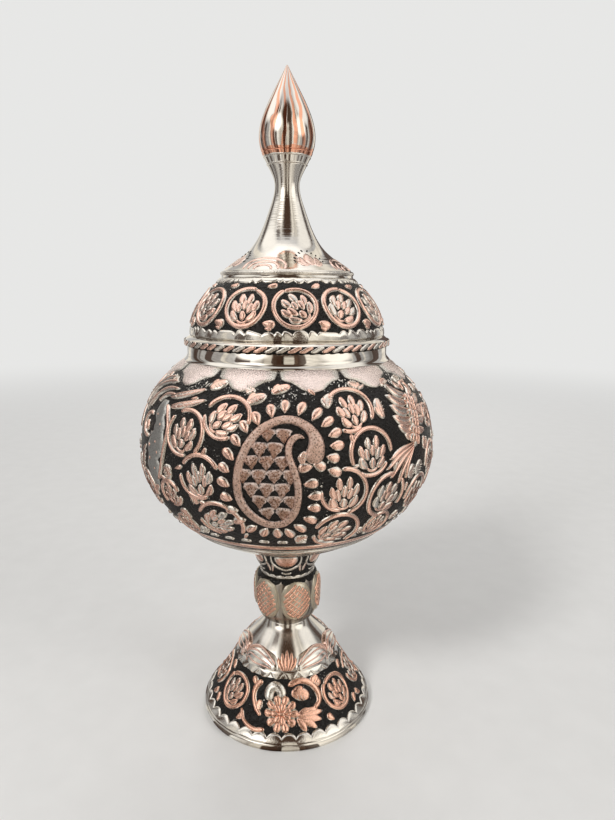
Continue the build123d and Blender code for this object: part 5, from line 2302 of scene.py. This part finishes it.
GLOWS = (
    Glow((0.03, -0.66, 0.75), (0.93, 0.975), rgb(0.075, 0.045, 0.03)),
    Glow((-0.10, 0.20, 0.97), (0.84, 0.98), rgb(1.55, 1.52, 1.48)),
    Glow((-0.56, -0.64, 0.52), (0.93, 0.995), rgb(2.2, 2.13, 2.03)),
    Glow((-0.62, 0.10, 0.78), (0.90, 0.97), rgb(1.25, 1.23, 1.19)),
    Glow((0.66, 0.05, 0.75), (0.90, 0.97), rgb(1.12, 1.10, 1.06)),
    Glow((0.80, -0.45, 0.40), (0.92, 0.98), rgb(1.5, 1.45, 1.35)),
)


@dataclass(frozen=True)
class PaleFloor(Finish):
    """The floor: plain and pale, hazy far off, and with the room's sides where the metal mirrors it."""

    haze_from: float = 0.25
    haze_full: float = 1.6

    def fill(self, recipe: Recipe, place: Socket) -> Node:
        """Build the floor's matt face, the haze and what the metal sees.

        Args:
            recipe: the nodes.
            place: coordinates.

        Returns:
            The shader.
        """
        colour = recipe.blend(recipe.noise(place, 60.0, 4.0), rgb(0.74, 0.73, 0.71), rgb(0.80, 0.79, 0.77))
        matt = recipe.metal(colour, 0.85, shine=0.0, **{"Specular IOR Level": 0.2})
        fade = recipe.share(recipe.vector("LENGTH", place), self.haze_from, self.haze_full)
        haze = recipe.add("Emission", {"Color": PALE, "Strength": 1.0})
        far = recipe.add("MixShader", {0: fade, 1: matt.outputs[0], 2: haze.outputs[0]})
        mirrored = recipe.blend(0.04, room_sides(recipe, place), rgb(0.34, 0.32, 0.29))
        dim = recipe.add("Emission", {"Color": mirrored, "Strength": 0.9})
        glossy = recipe.add("LightPath").outputs["Is Glossy Ray"]
        return recipe.add("MixShader", {0: glossy, 1: far.outputs[0], 2: dim.outputs[0]})


def room_sides(recipe: Recipe, toward: Socket) -> Socket:
    """Give the room's bright and dark sides, by direction round the axis.

    Args:
        recipe: the nodes.
        toward: the direction.

    Returns:
        The colour's socket.
    """
    share = recipe.maths("MULTIPLY_ADD", recipe.angle(toward), 0.5 / math.pi, 0.5)
    sides = recipe.steps(share, ROOM_SIDES)
    things = recipe.noise_along(share, 15.0, 1.0)
    sides = recipe.blend(recipe.range(things, 0.44, 0.47, 0.9, 0.0), sides, rgb(0.06, 0.028, 0.016))
    return recipe.blend(recipe.range(things, 0.57, 0.60, 0.0, 0.7), sides, rgb(1.15, 1.08, 0.94))


@dataclass(frozen=True)
class Studio:
    """A plain pale floor, plain light and the camera. Sizes here are in metres."""

    camera_place: Triple = (0.0096, -0.2864, 0.2067)
    pitch: float = 11.2
    lean: float = 0.35
    lens: float = 27.04
    sensor: float = 36.0
    floor_radius: float = 9.0
    floor_drop: float = 0.0004
    lamps_aim: Triple = (0, 0, 0.14)

    def camera(self) -> None:
        """Set the camera."""
        data = bpy.data.cameras.new("camera")
        data.lens = self.lens
        data.sensor_fit = "VERTICAL"
        data.sensor_height = self.sensor
        data.dof.use_dof = False
        eye = bpy.data.objects.new("camera", data)
        eye.location = self.camera_place
        level_view = Euler((math.radians(90 - self.pitch), 0, 0)).to_matrix()
        roll = Matrix.Rotation(math.radians(self.lean), 3, "Z")
        eye.rotation_euler = (level_view @ roll).to_euler()
        bpy.context.scene.collection.objects.link(eye)
        bpy.context.scene.camera = eye

    def floor(self) -> None:
        """Lay the floor."""
        work = bmesh.new()
        bmesh.ops.create_circle(work, cap_ends=True, segments=96, radius=self.floor_radius)
        bmesh.ops.translate(work, vec=(0, 0, -self.floor_drop), verts=work.verts)
        piece = place_mesh("floor", work, (PaleFloor("pale_floor"),))

    @staticmethod
    def world() -> None:
        """Build the room's light: pale to the eye, and with bright and dark sides in the metal."""
        world = bpy.data.worlds.new("room")
        bpy.context.scene.world = world
        world.use_nodes = True
        recipe = Recipe(world.node_tree)
        toward = recipe.add("TexCoord").outputs["Generated"]
        height = recipe.split(toward)[2]
        patch = recipe.noise(recipe.vector("MULTIPLY", toward, (2.2, 2.2, 5.0)), 2.4, 3.0)
        dim = recipe.range(patch, 0.42, 0.68, 0.0, 0.3)
        sides = recipe.blend(dim, room_sides(recipe, toward), rgb(0.12, 0.10, 0.085))
        sky = recipe.blend(recipe.share(height, 0.80, 0.95), sides, rgb(0.78, 0.78, 0.79))
        for glow in GLOWS:
            near = recipe.vector("DOT_PRODUCT", toward, glow.aim)
            sky = recipe.blend(recipe.share(near, *glow.edges), sky, glow.colour)
        low = recipe.blend(recipe.share(height, 0.0, -0.25), sky, rgb(0.45, 0.42, 0.38))
        pale, plain, seen = (
            recipe.add("Background", {"Color": colour, "Strength": strength}).outputs[0]
            for colour, strength in ((PALE, 1.0), (NEUTRAL, 0.42), (low, 1.0))
        )
        rays = recipe.add("LightPath").outputs
        lit = recipe.add("MixShader", {0: rays["Is Glossy Ray"], 1: plain, 2: seen}).outputs[0]
        both = recipe.add("MixShader", {0: rays["Is Camera Ray"], 1: lit, 2: pale}).outputs[0]
        recipe.add("OutputWorld", {"Surface": both})

    def lamps(self) -> None:
        """Hang the soft lights."""
        for name, place, size, power in (
            ("key", (-0.55, -0.72, 0.85), 0.26, 6.5),
            ("fill", (0.85, -0.50, 0.55), 0.50, 2.6),
            ("back", (0.10, 0.85, 0.75), 0.60, 3.0),
        ):
            data = bpy.data.lights.new(name, "AREA")
            data.shape = "DISK"
            data.size = size
            data.energy = power
            lamp = bpy.data.objects.new(name, data)
            lamp.location = place
            lamp.visible_glossy = False
            aim = Vector(self.lamps_aim) - Vector(place)
            lamp.rotation_euler = aim.to_track_quat("-Z", "Y").to_euler()
            bpy.context.scene.collection.objects.link(lamp)

    def build(self) -> None:
        """Build the studio."""
        bpy.context.scene.view_settings.view_transform = "Standard"
        for step in (self.camera, self.floor, self.world, self.lamps):
            step()


def main() -> None:
    """Build the bowl, its lid and the studio, and log each part and each piece's faces."""
    logging.basicConfig(level=logging.INFO, format="%(message)s")
    base, lid = (Foot(), Knop(), Calyx(), Bowl(), Collar()), (LidRim(), Dome(), Neck(), Finial())
    for part in (*base, *lid, Fastenings(), Studio()):
        LOG.info("building %s", type(part).__name__)
        part.build()


if __name__ == "__main__":
    main()
